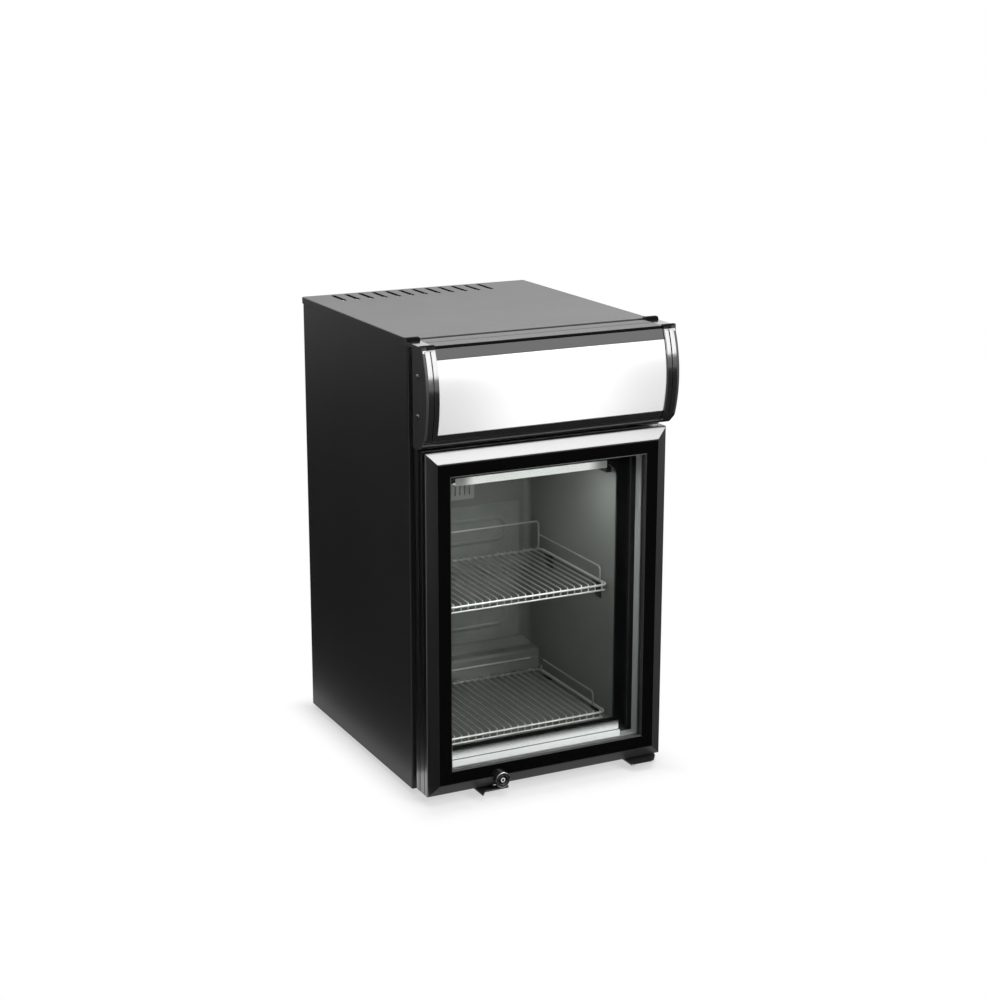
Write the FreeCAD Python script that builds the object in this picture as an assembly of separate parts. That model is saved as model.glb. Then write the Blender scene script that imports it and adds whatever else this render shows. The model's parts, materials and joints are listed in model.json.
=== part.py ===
import FreeCAD, Part
import math
import os

# Countertop display fridge: a 380 mm wide black cabinet with a framed glass door hung on the right,
# two wire shelves and an illuminated canopy across the top of the front.
# While modelling, y = 0 is the front plane of the cabinet, the door and the canopy lie at negative y,
# and z = 0 is the worktop. save() moves every piece so that the origin is the centre of the footprint.

# Cabinet
cabinet_width = 380.0
cabinet_depth = 389.0
cabinet_height = 656.0
foot_height = 8.0
sheet = 1.0
front_flange = 22.0
rear_flange = 15.0
panel_corner = 2.5
fit_gap = 0.3
overrun = 5.0
same_point = 1e-6

# Lid
lid_height = 10.0
lid_wall = 2.5
lid_overhang = 5.0
lid_corner = 3.0
lid_chamfer = 1.5
slot_count = 12
slot_pitch = 22.45
slot_width = 7.0
slot_length = 54.0
slot_rear_margin = 9.0
slot_row_offset = -20.0
lid_rib_height = 5.0

# Cooled compartment
side_wall = 51.0
floor_rise = 50.4
header_height = 207.6
machine_depth = 114.0
compartment_width = cabinet_width - 2 * side_wall
compartment_height = cabinet_height - floor_rise - header_height
compartment_depth = cabinet_depth - machine_depth
floor_lip = 1.4
liner_wall = 2.0
liner_corner = 22.0
liner_back_corner = 12.0
chamfer_growth = 2 - math.sqrt(2)
hump_depth = 35.0
hump_height = 40.0
hump_corner = 6.0
back_insulation = 20.0
top_insulation = 50.0
mouth_frame_thickness = 3.0
mouth_frame_bead = 1.2
mouth_frame_bead_width = 4.0

# Door
door_lift = 6.8
door_head = 148.7
door_height = cabinet_height - door_lift - door_head
door_gap = 16.3
door_edge_depth = 36.7
door_crown = 7.0
bevel_width = 17.0
frame_width = 37.0
rim_chamfer = 2.0
rim_depth = 9.0
glazing_seat = 30.0
frame_wall = 2.2
groove_width = 1.4
groove_depth = 0.8
groove_shares = (0.22, 0.34, 0.72)
glass_thickness = 4.0
pane_gap = 16.0
spacer_width = 6.5
sill_height = 21.0
sill_end_inset = 59.0
sill_length = cabinet_width - 2 * sill_end_inset
sill_depth = 9.0
bead_width = 13.0
bead_wall = 2.0

# Door gasket
gasket_width = 14.0
gasket_inset = 13.0
gasket_foot_width = 3.4
gasket_foot_depth = 3.6
gasket_base = 2.5
gasket_bellows = 8.0
gasket_waist_share = 0.22
gasket_slot_play = 0.3

# Hinges
pin_inset = 13.0
pin_setback = 36.0
pin_diameter = 8.0
pin_play = 0.05
pin_reach = 12.0
bush_diameter = 12.0
bush_flange_diameter = 16.0
bush_length = 14.0
bush_sides = 16
bracket_thickness = 3.0
plate_drop = 1.5
bracket_screw_shares = (0.25, 0.6)
bracket_gap = 0.3
bracket_reach = 73.0
bracket_inner_inset = 56.0
bracket_outer_inset = 4.0
bracket_nose_inset = 21.0
bracket_nose_setback = 50.0
bracket_leg_height = 17.0
bracket_leg_thickness = 2.5
bracket_corner = 4.0
hinge_boss_diameter = 14.0
canopy_gap = 4.7
top_bracket_thickness = 2.4

# Lock on the bottom rail and its strike plate
lock_from_left = 112.0
lock_rise = 11.7
lock_diameter = 23.0
lock_projection = 8.5
lock_rim = 1.5
lock_sides = 32
barrel_diameter = 13.0
barrel_play = 0.05
barrel_head = 0.8
key_slot_width = 1.8
key_slot_height = 8.0
key_slot_depth = 4.0
cam_setback = 15.0
cam_thickness = 3.0
cam_width = 8.0
cam_length = 18.0
cam_clearance = 1.5
cam_slot_side = 17.0
strike_thickness = 2.4
strike_left_inset = 78.0
strike_right_inset = 126.0
strike_reach = 61.0
strike_ear_reach = 73.0
strike_ear_width = 9.0
strike_screw_shares = (0.2, 0.8)

# Canopy
canopy_overhang = 7.0
canopy_width = cabinet_width + 2 * canopy_overhang
cap_width = 20.0
cap_wall = 2.5
cap_back = 3.5
cap_side_setback = 32.0
cap_rebate = 7.0
cap_top_reach = 61.5
cap_bulge_reach = 75.0
cap_foot_reach = 65.0
crown_drop = 6.0
cap_top_height = door_head - canopy_gap - crown_drop
cap_bulge_height = 76.0
cap_foot_height = 13.0
cap_toe_reach = 50.0
cap_corner = 4.0
lump_length = 9.0
lump_height = 4.5
lump_slope = 2.0
brow_length = 7.0
brow_rise = 1.4
brow_height = 4.5
rib_width = 3.2
rib_proud = 0.8
rib_shares = (0.06, 0.72)
sign_inset = 2.0
sign_thickness = 2.5
sign_bottom_height = 21.7
sign_head = 14.0
sign_top_height = cap_top_height - sign_head
sign_seat = 3.0
strip_thickness = 2.5
curve_chords = 8
lower_strip_back = 30.0
lower_strip_lip = 8.0
tray_thickness = 1.5
tray_depth = 54.0
tray_notch_height = 21.0
tray_notch_depth = 7.0
canopy_lamp_diameter = 16.0
canopy_lamp_cap = 13.0
canopy_lamp_inset = 47.0
canopy_lamp_length = canopy_width - 2 * canopy_lamp_inset
canopy_lamp_setback = 36.0
canopy_lamp_height = 74.0
lamp_holder_width = 9.0
lamp_holder_size = 22.0
reflector_thickness = 0.8
reflector_height = 96.0
reflector_lip = 14.0
screw_head_diameter = 7.5
screw_head_height = 1.6
screw_sides = 8
cap_screw_setback = 48.0
cap_screw_heights = (46.0, 101.0)

# Shelves
shelf_side_gap = 3.0
shelf_front_setback = 15.0
shelf_rear_gap = 50.0
shelf_width = compartment_width - 2 * shelf_side_gap
shelf_depth = compartment_depth - shelf_front_setback - shelf_rear_gap
upper_shelf_level = 213.0
lower_shelf_level = 13.0
rod_count = 23
rod_row_inset = 8.95
rod_size = 2.4
wire_size = 3.2
ladder_drop = 5.6
wire_sides = 8
rod_sides = 4
bend_chords = 2
frame_bend_radius = 9.0
upper_rail_rear_height = 43.0
upper_rail_side_height = 22.0
upper_rail_setback = 10.0
lower_rail_height = 20.0
lower_rail_setback = 26.0
rail_bend_radius = 6.0
bracket_ledge = 9.0
bracket_width = 14.0
bracket_drop = 27.0
bracket_nose = 5.0
bracket_foot = 2.5
bracket_front_setback = 47.0
bracket_rear_inset = 25.0

# Evaporator plate and thermostat
evaporator_side_gap = 19.0
evaporator_width = compartment_width - 2 * evaporator_side_gap
evaporator_clearance = 14.0
evaporator_top_gap = 120.0
evaporator_thickness = 1.5
channel_width = 7.0
channel_sides = 6
channel_rows = 6
channel_margin = 24.0
evaporator_wall_gap = 0.3
thermostat_width = 95.0
thermostat_height = 42.0
thermostat_depth = 20.0
thermostat_right = 33.0
thermostat_top_gap = 61.0
thermostat_corner = 4.0
thermostat_vent_count = 4
knob_diameter = 26.0
knob_height = 12.0
knob_from_right = 64.0
knob_shaft_diameter = 6.0
knob_shaft_play = 0.05
knob_shaft_reach = 10.0
knob_grip_count = 14
knob_grip_depth = 1.6
knob_pointer_width = 1.6
knob_pointer_depth = 0.8

# Interior lamp
lamp_cover_side_gap = 14.0
lamp_cover_length = compartment_width - 2 * lamp_cover_side_gap
lamp_cover_front = 9.0
lamp_cover_depth = 25.0
lamp_cover_height = 14.0
lamp_cover_wall = 1.2
lamp_cover_corner = 5.0
lamp_end_length = 9.0
lamp_end_margin = 2.0
lamp_board_height = 3.0
lamp_board_depth = 12.0
lamp_spot = 3.0
lamp_spot_count = 11

# Machine compartment and rear
compressor_length = 130.0
compressor_width = 80.0
compressor_height = 112.0
compressor_offset = 30.0
compressor_rear_gap = 4.0
compressor_dome = 26.0
compressor_base_corner = 14.0
seam_height_share = 0.52
port_height_share = 0.68
relay_height_share = 0.12
dome_share = 0.3
shell_sides = 6
seam_width = 2.6
seam_thickness = 4.0
compressor_foot_width = 24.0
compressor_foot_length = 27.0
compressor_foot_thickness = 2.5
port_wall = 2.0
grommet_sides = 6
grommet_diameter = 15.0
grommet_height = 14.0
grommet_waist = 9.0
rail_thickness = 2.0
rail_width = 74.0
rail_length = 210.0
relay_width = 34.0
relay_depth = 44.0
relay_height = 46.0
condenser_tube = 5.0
condenser_side_gap = 55.0
condenser_run = cabinet_width - 2 * condenser_side_gap
condenser_rows = 5
condenser_rear_gap = 12.0
condenser_foot = 190.0
condenser_head = 126.0
condenser_pitch = (cabinet_height - condenser_foot - condenser_head) / (condenser_rows - 1)
condenser_wire = 1.6
condenser_wire_count = 10
condenser_strip = 10.0
condenser_strip_inset = 8.0
line_diameter = 6.0
line_bend_radius = 14.0
line_sides = 6
drier_diameter = 18.0
drier_length = 80.0
drier_neck = 6.0
drier_sides = 12
drier_taper = 10.0
capillary_diameter = 2.4
capillary_bend_radius = 8.0
suction_rise = 28.0
suction_run = 42.0
suction_height = 112.0
cover_thickness = 1.0
cover_margin = 6.0
cover_lift = 4.0
louvre_columns = 2
louvre_rows = 4
louvre_length = 120.0
louvre_pitch_x = 150.0
louvre_pitch_z = 26.0
louvre_height = 9.0
louvre_depth = 5.0
louvre_wall = 1.0
louvre_field_low = 40.0
louvre_field_drop = 256.0
gland_diameter = 20.0
gland_collar = 24.0
gland_length = 7.0
gland_rim = 2.0
gland_bore = 8.0
gland_sides = 12
gland_inset = 30.0
rear_screw_shares = (0.04, 0.35, 0.65, 0.96)
gland_height = 64.0
switch_width = 21.0
switch_height = 15.0
switch_flange = 2.0
switch_body_depth = 16.0
switch_wall = 1.5
switch_inset = 70.0
switch_from_top = 70.0
rocker_play = 0.3
rocker_reach = 6.0
rocker_half_height = 4.5
rocker_recess_share = 0.125
rocker_dish = 1.0
rocker_thickness = 4.0
rocker_tilt = 7.0
pivot_diameter = 3.0
pivot_play = 0.05
driver_width = 90.0
driver_depth = 42.0
driver_height = 28.0
driver_from_left = 60.0
driver_from_front = 120.0
driver_flange = 9.0
foot_diameter = 28.0
foot_taper = 3.0
foot_sides = 16
foot_inset_x = 30.0
foot_inset_y = 32.0

# Places that follow from the sizes
half = cabinet_width / 2
inner_half = half - sheet
under = foot_height
top = under + cabinet_height
rim = top - lid_height
rear = cabinet_depth
cave_half = compartment_width / 2
cave_floor = under + floor_rise
cave_ceiling = cave_floor + compartment_height
cave_back = compartment_depth
foam_rear = cave_back + liner_wall + back_insulation
foam_top = cave_ceiling + liner_wall + top_insulation
door_bottom = under + door_lift
door_top = door_bottom + door_height
door_back = -door_gap
door_edge = door_back - door_edge_depth
door_crest = door_edge - door_crown
glass_front = door_crest + rim_depth
glass_mid = glass_front + glass_thickness
glass_back = glass_mid + pane_gap
glass_rear = glass_back + glass_thickness
mouth_half = half - front_flange
mouth_low = under + front_flange
mouth_high = cave_ceiling + (cave_floor - mouth_low)
canopy_half = canopy_width / 2
canopy_bottom = door_top + canopy_gap
cap_inner = canopy_half - cap_width
pin_x = half - pin_inset
pin_y = -pin_setback
lock_x = -half + lock_from_left
lock_z = door_bottom + lock_rise
knob_x = thermostat_right - knob_from_right
knob_z = cave_ceiling - thermostat_top_gap - thermostat_height / 2
rod_row = shelf_width / 2 - rod_row_inset
rod_pitch = rod_row * 2 / (rod_count - 1)
bracket_rear_setback = shelf_front_setback + shelf_depth - bracket_rear_inset
compressor_y = rear - sheet - compressor_rear_gap - compressor_width / 2
rail_top = under + sheet + rail_thickness
shell_low = rail_top + grommet_height - compressor_foot_thickness
condenser_y = rear - sheet - condenser_rear_gap
condenser_low = under + condenser_foot
condenser_high = condenser_low + (condenser_rows - 1) * condenser_pitch
cover_y = (rear, rear + cover_thickness)
cover_low = under + cover_lift
cover_high = rim - cover_lift
gland_x = -half + gland_inset
switch_x = half - switch_inset
switch_z = rim - switch_from_top
rocker_recess = rocker_half_height * rocker_recess_share
rocker_axis_y = cover_y[1] + cover_thickness - rocker_reach - rocker_recess

X = FreeCAD.Vector(1, 0, 0)
Y = FreeCAD.Vector(0, 1, 0)
Z = FreeCAD.Vector(0, 0, 1)


def at(x, y, z):
    return FreeCAD.Vector(x, y, z)


def block(x, y, z):
    """A box from three (low, high) pairs."""
    return Part.makeBox(x[1] - x[0], y[1] - y[0], z[1] - z[0], at(x[0], y[0], z[0]))


def rod(centre, axis, diameter, length):
    return Part.makeCylinder(diameter / 2, length, centre, axis)


def corner_arc(before, corner, after, radius):
    """The arc that rounds a corner, with its two tangent points."""
    first = (before - corner).normalize()
    second = (after - corner).normalize()
    half_angle = first.getAngle(second) / 2
    run = radius / math.tan(half_angle)
    start = corner + first * run
    end = corner + second * run
    middle = (first + second).normalize()
    reach = radius / math.sin(half_angle) - radius
    return start, corner + middle * reach, end


def outline(corners, place):
    """A face from corners (a, b) or (a, b, radius), with place(a, b) giving the point in space."""
    points = [place(corner[0], corner[1]) for corner in corners]
    arcs = []
    for i, corner in enumerate(corners):
        if len(corner) > 2 and corner[2] > 0:
            after = points[(i + 1) % len(points)]
            arcs.append(corner_arc(points[i - 1], points[i], after, corner[2]))
        else:
            arcs.append((points[i], None, points[i]))
    edges = []
    for i, (start, middle, end) in enumerate(arcs):
        if middle is not None:
            edges.append(Part.Arc(start, middle, end).toShape())
        next_start = arcs[(i + 1) % len(arcs)][0]
        if not end.isEqual(next_start, same_point):
            edges.append(Part.LineSegment(end, next_start).toShape())
    return Part.Face(Part.Wire(edges))


def along_x(corners, x):
    """A profile of (y, z) corners, extruded between two x."""
    return outline(corners, lambda a, b: at(x[0], a, b)).extrude(X * (x[1] - x[0]))


def along_y(corners, y):
    """A profile of (x, z) corners, extruded between two y."""
    return outline(corners, lambda a, b: at(a, y[0], b)).extrude(Y * (y[1] - y[0]))


def along_z(corners, z):
    """A profile of (x, y) corners, extruded between two z."""
    return outline(corners, lambda a, b: at(a, b, z[0])).extrude(Z * (z[1] - z[0]))


def rectangle(a, b, radius=0):
    return [(a[0], b[0], radius), (a[1], b[0], radius), (a[1], b[1], radius), (a[0], b[1], radius)]


def clipped(corners):
    """Corners (a, b, cut) with each cut made as a straight chamfer."""
    points = []
    for i, corner in enumerate(corners):
        if len(corner) == 2:
            points.append(corner)
            continue
        middle = at(corner[0], corner[1], 0)
        for other in (corners[i - 1], corners[(i + 1) % len(corners)]):
            end = middle + (at(other[0], other[1], 0) - middle).normalize() * corner[2]
            points.append((end.x, end.y))
    return points


def mirrored(shape):
    return shape.mirror(at(0, 0, 0), X)


def merged(shapes):
    whole = shapes[0].fuse(shapes[1:]) if len(shapes) > 1 else shapes[0]
    return whole.removeSplitter()


def many_sided(centre, direction, size, sides):
    """The corners of a polygon round a centre, its flats the given size apart and one on top."""
    upright = Z if abs(direction.z) < abs(direction.x) + abs(direction.y) else X
    side = direction.cross(upright).normalize()
    lift = side.cross(direction).normalize()
    reach = size / 2 / math.cos(math.pi / sides)
    turns = [math.pi / 2 + math.pi * (2 * i + 1) / sides for i in range(sides)]
    return [centre + side * (reach * math.cos(t)) + lift * (reach * math.sin(t)) for t in turns]


def skinned(rings, closed=False):
    """A solid with flat faces between rings of corners, and flat ends unless it closes on itself."""
    count = len(rings[0])
    faces = []
    for near, far in zip(rings, rings[1:]):
        for j in range(count):
            k = (j + 1) % count
            faces.append(Part.Face(Part.makePolygon([near[j], near[k], far[k], far[j], near[j]])))
    if not closed:
        faces.append(Part.Face(Part.makePolygon(rings[0] + rings[0][:1])))
        faces.append(Part.Face(Part.makePolygon(rings[-1] + rings[-1][:1])))
    solid = Part.Solid(Part.Shell(faces))
    return solid if solid.Volume > 0 else solid.reversed()


def bent_path(points, bend):
    """The points of a path with each corner replaced by the chords of its bend."""
    path = [points[0]]
    for i in range(1, len(points) - 1):
        arc = Part.Arc(*corner_arc(points[i - 1], points[i], points[i + 1], bend)).toShape()
        path += [p for p in arc.discretize(bend_chords + 1) if not p.isEqual(path[-1], same_point)]
    if not points[-1].isEqual(path[-1], same_point):
        path.append(points[-1])
    return path


def wire(points, size, bend=0, sides=8, closed=False):
    """A many-sided bar along straight runs, mitred where the path turns."""
    path = bent_path(points, bend) if bend else points
    runs = [(b - a).normalize() for a, b in zip(path, path[1:])]
    rings = [many_sided(path[0], runs[0], size, sides)]
    for i, run in enumerate(runs):
        after = runs[i + 1] if i + 1 < len(runs) else run
        normal = run + after
        target = path[i + 1]
        rings.append([c + run * ((target - c).dot(normal) / run.dot(normal)) for c in rings[-1]])
    return skinned(rings, closed)


def turned(centre, axis, steps, sides):
    """A many-sided turned piece from (distance, diameter) steps along an axis."""
    return skinned([many_sided(centre + axis * step[0], axis, step[1], sides) for step in steps])


def stud(centre, axis, size, length, sides):
    """A many-sided prism standing on centre."""
    return turned(centre, axis, [(0, size), (length, size)], sides)


def screw(centre, outward):
    """A screw's head on the surface at centre."""
    return stud(centre, outward, screw_head_diameter, screw_head_height, screw_sides)


# Cabinet shell


def side_panel():
    """The left side: sheet folded inwards at the front and the rear."""
    corners = [
        (-half, 0, panel_corner),
        (-half + front_flange, 0),
        (-half + front_flange, sheet),
        (-inner_half, sheet, panel_corner - sheet),
        (-inner_half, rear - sheet, panel_corner - sheet),
        (-half + rear_flange, rear - sheet),
        (-half + rear_flange, rear),
        (-half, rear, panel_corner),
    ]
    return along_z(corners, (under, rim))


def vent_slots():
    slots = []
    end = rear + lid_overhang - slot_rear_margin
    cut = slot_width / 4
    for i in range(slot_count):
        x = slot_row_offset + (i - (slot_count - 1) / 2) * slot_pitch
        low = x - slot_width / 2
        high = x + slot_width / 2
        corners = [
            (low + cut, end - slot_length),
            (high - cut, end - slot_length),
            (high, end - slot_length + cut),
            (high, end - cut),
            (high - cut, end),
            (low + cut, end),
            (low, end - cut),
            (low, end - slot_length + cut),
        ]
        slots.append(along_z(corners, (top - lid_wall - lid_rib_height - overrun, top + overrun)))
    return slots


def top_lid():
    """The moulded lid: a shallow tray upside down, with ribs beside the vent slots."""
    back = rear + lid_overhang
    body = block((-half, half), (0, back), (rim, top))
    upper = [e for e in body.Edges if e.BoundBox.ZMin > rim + lid_height / 2]
    body = body.makeChamfer(lid_chamfer, upper)
    inside = ((-half + lid_wall, half - lid_wall), (lid_wall, back - lid_wall))
    body = body.cut(block(inside[0], inside[1], (rim - overrun, top - lid_wall)))
    ribs = []
    for i in range(slot_count + 1):
        x = slot_row_offset + (i - slot_count / 2) * slot_pitch
        across = (x - lid_wall / 2, x + lid_wall / 2)
        along = (back - slot_rear_margin - slot_length, back - lid_wall)
        ribs.append(block(across, along, (top - lid_wall - lid_rib_height, top - lid_wall)))
    return merged([body] + ribs).cut(vent_slots())


def base_plate():
    """The bottom sheet with its front edge turned up below the door opening."""
    plan = rectangle((-inner_half, inner_half), (sheet, rear - sheet), panel_corner - sheet)
    floor = along_z(plan, (under, under + sheet))
    lip = block((-mouth_half, mouth_half), (0, sheet), (under, mouth_low))
    return merged([floor, lip])


def header_panel():
    """The sheet above the opening, with a flange turned back under the lid."""
    corners = [
        (0, mouth_high),
        (sheet, mouth_high),
        (sheet, rim - sheet),
        (front_flange, rim - sheet),
        (front_flange, rim),
        (0, rim),
    ]
    return along_x(corners, (-mouth_half, mouth_half))


def mouth_outline(grow, floor):
    """The opening as (x, z) corners: square at the floor and rounded at the ceiling."""
    wide = cave_half + grow
    return [
        (-wide, floor - grow),
        (wide, floor - grow),
        (wide, cave_ceiling + grow, liner_corner + grow),
        (-wide, cave_ceiling + grow, liner_corner + grow),
    ]


def mouth_frame():
    """The moulded frame round the opening, with a raised bead and a low lip at the floor."""
    outer = rectangle((-mouth_half, mouth_half), (mouth_low, mouth_high))
    plate = along_y(outer, (0, mouth_frame_thickness))
    bead = along_y(mouth_outline(mouth_frame_bead_width, cave_floor + floor_lip), (-mouth_frame_bead, 0))
    through = (-overrun, mouth_frame_thickness + overrun)
    return merged([plate, bead]).cut(along_y(mouth_outline(0, cave_floor + floor_lip), through))


def cave(grow):
    """The inside of the liner, grown on every side but the front."""
    front = mouth_frame_thickness
    back = cave_back + grow
    wide = cave_half + grow
    high = cave_ceiling + grow
    step_front = cave_back - hump_depth + grow
    step_top = cave_floor + hump_height - grow
    over_step = [
        (-wide, step_top),
        (wide, step_top),
        (wide, high, liner_corner + grow),
        (-wide, high, liner_corner + grow),
    ]
    room = along_y(over_step, (front, back))
    rear_edges = [e for e in room.Edges if e.BoundBox.YMin > back - fit_gap]
    room = room.makeChamfer(liner_back_corner + grow * chamfer_growth, rear_edges)
    room = merged([room, along_y(mouth_outline(grow, cave_floor), (front, step_front))])
    corner = [
        e
        for e in room.Edges
        if abs(e.BoundBox.Center.y - step_front) < fit_gap and abs(e.BoundBox.Center.z - step_top) < fit_gap
    ]
    return room.makeFillet(hump_corner - grow, corner)


def liner():
    return cave(liner_wall).cut(cave(0))


def insulation_foam():
    """The foam that fills the casing round the liner, cut away over the machine compartment."""
    step_y = cave_back - hump_depth + liner_wall + back_insulation
    step_z = cave_floor + hump_height - liner_wall - back_insulation
    corners = [
        (mouth_frame_thickness, under + sheet),
        (step_y, under + sheet),
        (step_y, step_z),
        (foam_rear, step_z),
        (foam_rear, foam_top),
        (mouth_frame_thickness, foam_top),
    ]
    return along_x(corners, (-inner_half, inner_half)).cut(cave(liner_wall))


def insulation_back():
    """The thin skin that closes the foam towards the machine compartment."""
    step_y = cave_back - hump_depth + liner_wall + back_insulation
    step_z = cave_floor + hump_height - liner_wall - back_insulation
    corners = [
        (step_y, under + sheet),
        (step_y + sheet, under + sheet),
        (step_y + sheet, step_z - sheet),
        (foam_rear + sheet, step_z - sheet),
        (foam_rear + sheet, foam_top),
        (foam_rear, foam_top),
        (foam_rear, step_z),
        (step_y, step_z),
    ]
    return along_x(corners, (-inner_half, inner_half))


def machine_deck():
    """The sheet over the foam, turned up along its rear edge."""
    corners = [
        (mouth_frame_thickness, foam_top),
        (foam_rear + sheet, foam_top),
        (foam_rear + sheet, foam_top + front_flange),
        (foam_rear, foam_top + front_flange),
        (foam_rear, foam_top + sheet),
        (mouth_frame_thickness, foam_top + sheet),
    ]
    return along_x(corners, (-inner_half, inner_half))


def feet():
    """Four tapered rubber feet under the base plate."""
    pads = []
    for x in (-half + foot_inset_x, half - foot_inset_x):
        for y in (foot_inset_y, rear - foot_inset_y):
            steps = [(0, foot_diameter - 2 * foot_taper), (foot_height, foot_diameter)]
            pads.append(turned(at(x, y, 0), Z, steps, foot_sides))
    return Part.makeCompound(pads)


# Door


def door_section():
    """The frame member's section as (distance in from the door's edge, y) corners."""
    corners = [(0, door_back)]
    for share in groove_shares:
        y = door_back - door_edge_depth * share
        corners += [
            (0, y + groove_width / 2),
            (groove_depth, y + groove_width / 2),
            (groove_depth, y - groove_width / 2),
            (0, y - groove_width / 2),
        ]
    corners += [
        (0, door_edge),
        (bevel_width, door_crest),
        (frame_width - rim_chamfer, door_crest),
        (frame_width, door_crest + rim_chamfer),
        (frame_width, glass_front),
        (glazing_seat, glass_front),
        (glazing_seat, door_back),
    ]
    return corners


def door_chamber():
    """The hollow inside the frame member."""
    slope = door_crown / bevel_width
    return [
        (frame_wall, door_back - frame_wall),
        (frame_wall, door_edge + frame_wall),
        (bevel_width, door_crest + frame_wall * (1 + slope / 2)),
        (glazing_seat - frame_wall, door_crest + frame_wall * (1 + slope / 2)),
        (glazing_seat - frame_wall, door_back - frame_wall),
    ]


def frame_bar(section, side, wide, tall, inset=0):
    """One mitred member of a rectangular frame, from a section of (inset, y) corners."""
    low = (wide[0] + inset, tall[0] + inset)
    high = (wide[1] - inset, tall[1] - inset)
    width = high[0] - low[0]
    height = high[1] - low[1]
    far = max(corner[0] for corner in section) + overrun
    near_low = (low[0] + far, low[1] + far)
    near_high = (high[0] - far, high[1] - far)
    if side == "left":
        face = outline(section, lambda a, b: at(low[0] + a, b, low[1]))
        member = face.extrude(Z * height)
        mitre = [(low[0], low[1]), (low[0], high[1]), (low[0] + far, high[1] - far), near_low]
    elif side == "right":
        face = outline(section, lambda a, b: at(high[0] - a, b, low[1]))
        member = face.extrude(Z * height)
        mitre = [(high[0], low[1]), (high[0], high[1]), near_high, (high[0] - far, low[1] + far)]
    elif side == "bottom":
        face = outline(section, lambda a, b: at(low[0], b, low[1] + a))
        member = face.extrude(X * width)
        mitre = [(low[0], low[1]), (high[0], low[1]), (high[0] - far, low[1] + far), near_low]
    else:
        face = outline(section, lambda a, b: at(low[0], b, high[1] - a))
        member = face.extrude(X * width)
        mitre = [(low[0], high[1]), (high[0], high[1]), near_high, (low[0] + far, high[1] - far)]
    reach = max(abs(corner[1]) for corner in section) + overrun
    return member.common(along_y(mitre, (-reach, reach)))


door_wide = (-half, half)
door_tall = (door_bottom, door_top)


def door_member(side):
    """A hollow mitred member of the door with the slot that holds the gasket's foot."""
    bar_shape = frame_bar(door_section(), side, door_wide, door_tall)
    hollow = frame_bar(door_chamber(), side, door_wide, door_tall)
    middle = gasket_inset + gasket_width / 2
    reach = gasket_foot_width / 2 + gasket_slot_play
    slot = [
        (middle - reach, door_back - frame_wall - overrun / 2),
        (middle + reach, door_back - frame_wall - overrun / 2),
        (middle + reach, door_back + overrun / 2),
        (middle - reach, door_back + overrun / 2),
    ]
    return bar_shape.cut([hollow, frame_bar(slot, side, door_wide, door_tall)])


def hinge_bores():
    """The holes for the two bushes, through the bottom and the top of the door."""
    deep = frame_wall + 2 * overrun
    low = stud(at(pin_x, pin_y, door_bottom - overrun), Z, bush_diameter, deep, bush_sides)
    high = stud(at(pin_x, pin_y, door_top - frame_wall - overrun), Z, bush_diameter, deep, bush_sides)
    return [low, high]


def door_rail_bottom():
    """The bottom member, bored for the hinge bush and the lock and slotted for the lock's cam."""
    clear = barrel_diameter + 2 * lock_rim
    bore = stud(at(lock_x, door_crest - overrun, lock_z), Y, clear, overrun * 3, bush_sides)
    half_slot = cam_thickness / 2 + cam_clearance
    middle = door_crest + cam_setback
    slot = block(
        (lock_x - cam_width / 2 - cam_clearance, lock_x + cam_slot_side),
        (middle - half_slot, middle + half_slot),
        (door_bottom - overrun, door_bottom + frame_wall + overrun / 2),
    )
    return door_member("bottom").cut(hinge_bores() + [bore, slot])


def door_rail_top():
    return door_member("top").cut(hinge_bores())


def pane(front):
    """One glass pane, set into the seat of the frame."""
    inset = glazing_seat + fit_gap
    wide = (-half + inset, half - inset)
    tall = (door_bottom + inset, door_top - inset)
    return block(wide, (front, front + glass_thickness), tall)


def closed_frame(section, inset):
    """A frame of four mitred members joined into one piece."""
    sides = ("left", "right", "bottom", "top")
    return merged([frame_bar(section, side, door_wide, door_tall, inset) for side in sides])


def glass_spacer():
    """The folded aluminium spacer between the panes, set back a little in its middle."""
    step = spacer_width / 4
    section = [
        (0, glass_mid),
        (spacer_width, glass_mid),
        (spacer_width, glass_mid + step),
        (spacer_width - step / 2, glass_mid + step * 2),
        (spacer_width - step / 2, glass_back - step * 2),
        (spacer_width, glass_back - step),
        (spacer_width, glass_back),
        (0, glass_back),
    ]
    return closed_frame(section, glazing_seat + fit_gap)


def sill_strip():
    """The bright strip that stands on the spacer at the foot of the glazing."""
    low = door_bottom + glazing_seat + fit_gap + spacer_width
    front = glass_mid + fit_gap
    corners = [
        (front, low),
        (front + sill_depth, low),
        (front + sill_depth, low + sill_height / 2),
        (front + sill_depth / 2, low + sill_height / 2, lid_corner / 2),
        (front + sill_depth / 2, low + sill_height - spacer_width),
        (front, low + sill_height - spacer_width),
    ]
    return along_x(corners, (-sill_length / 2, sill_length / 2))


def glazing_bead():
    """The moulded bead behind the rear pane, an angle that closes the frame's inner edge."""
    section = [
        (0, glass_rear),
        (bead_width, glass_rear),
        (bead_width, glass_rear + bead_wall, bead_wall / 2),
        (bead_wall, glass_rear + bead_wall),
        (bead_wall, door_back),
        (0, door_back),
    ]
    return closed_frame(section, glazing_seat + fit_gap)


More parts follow.
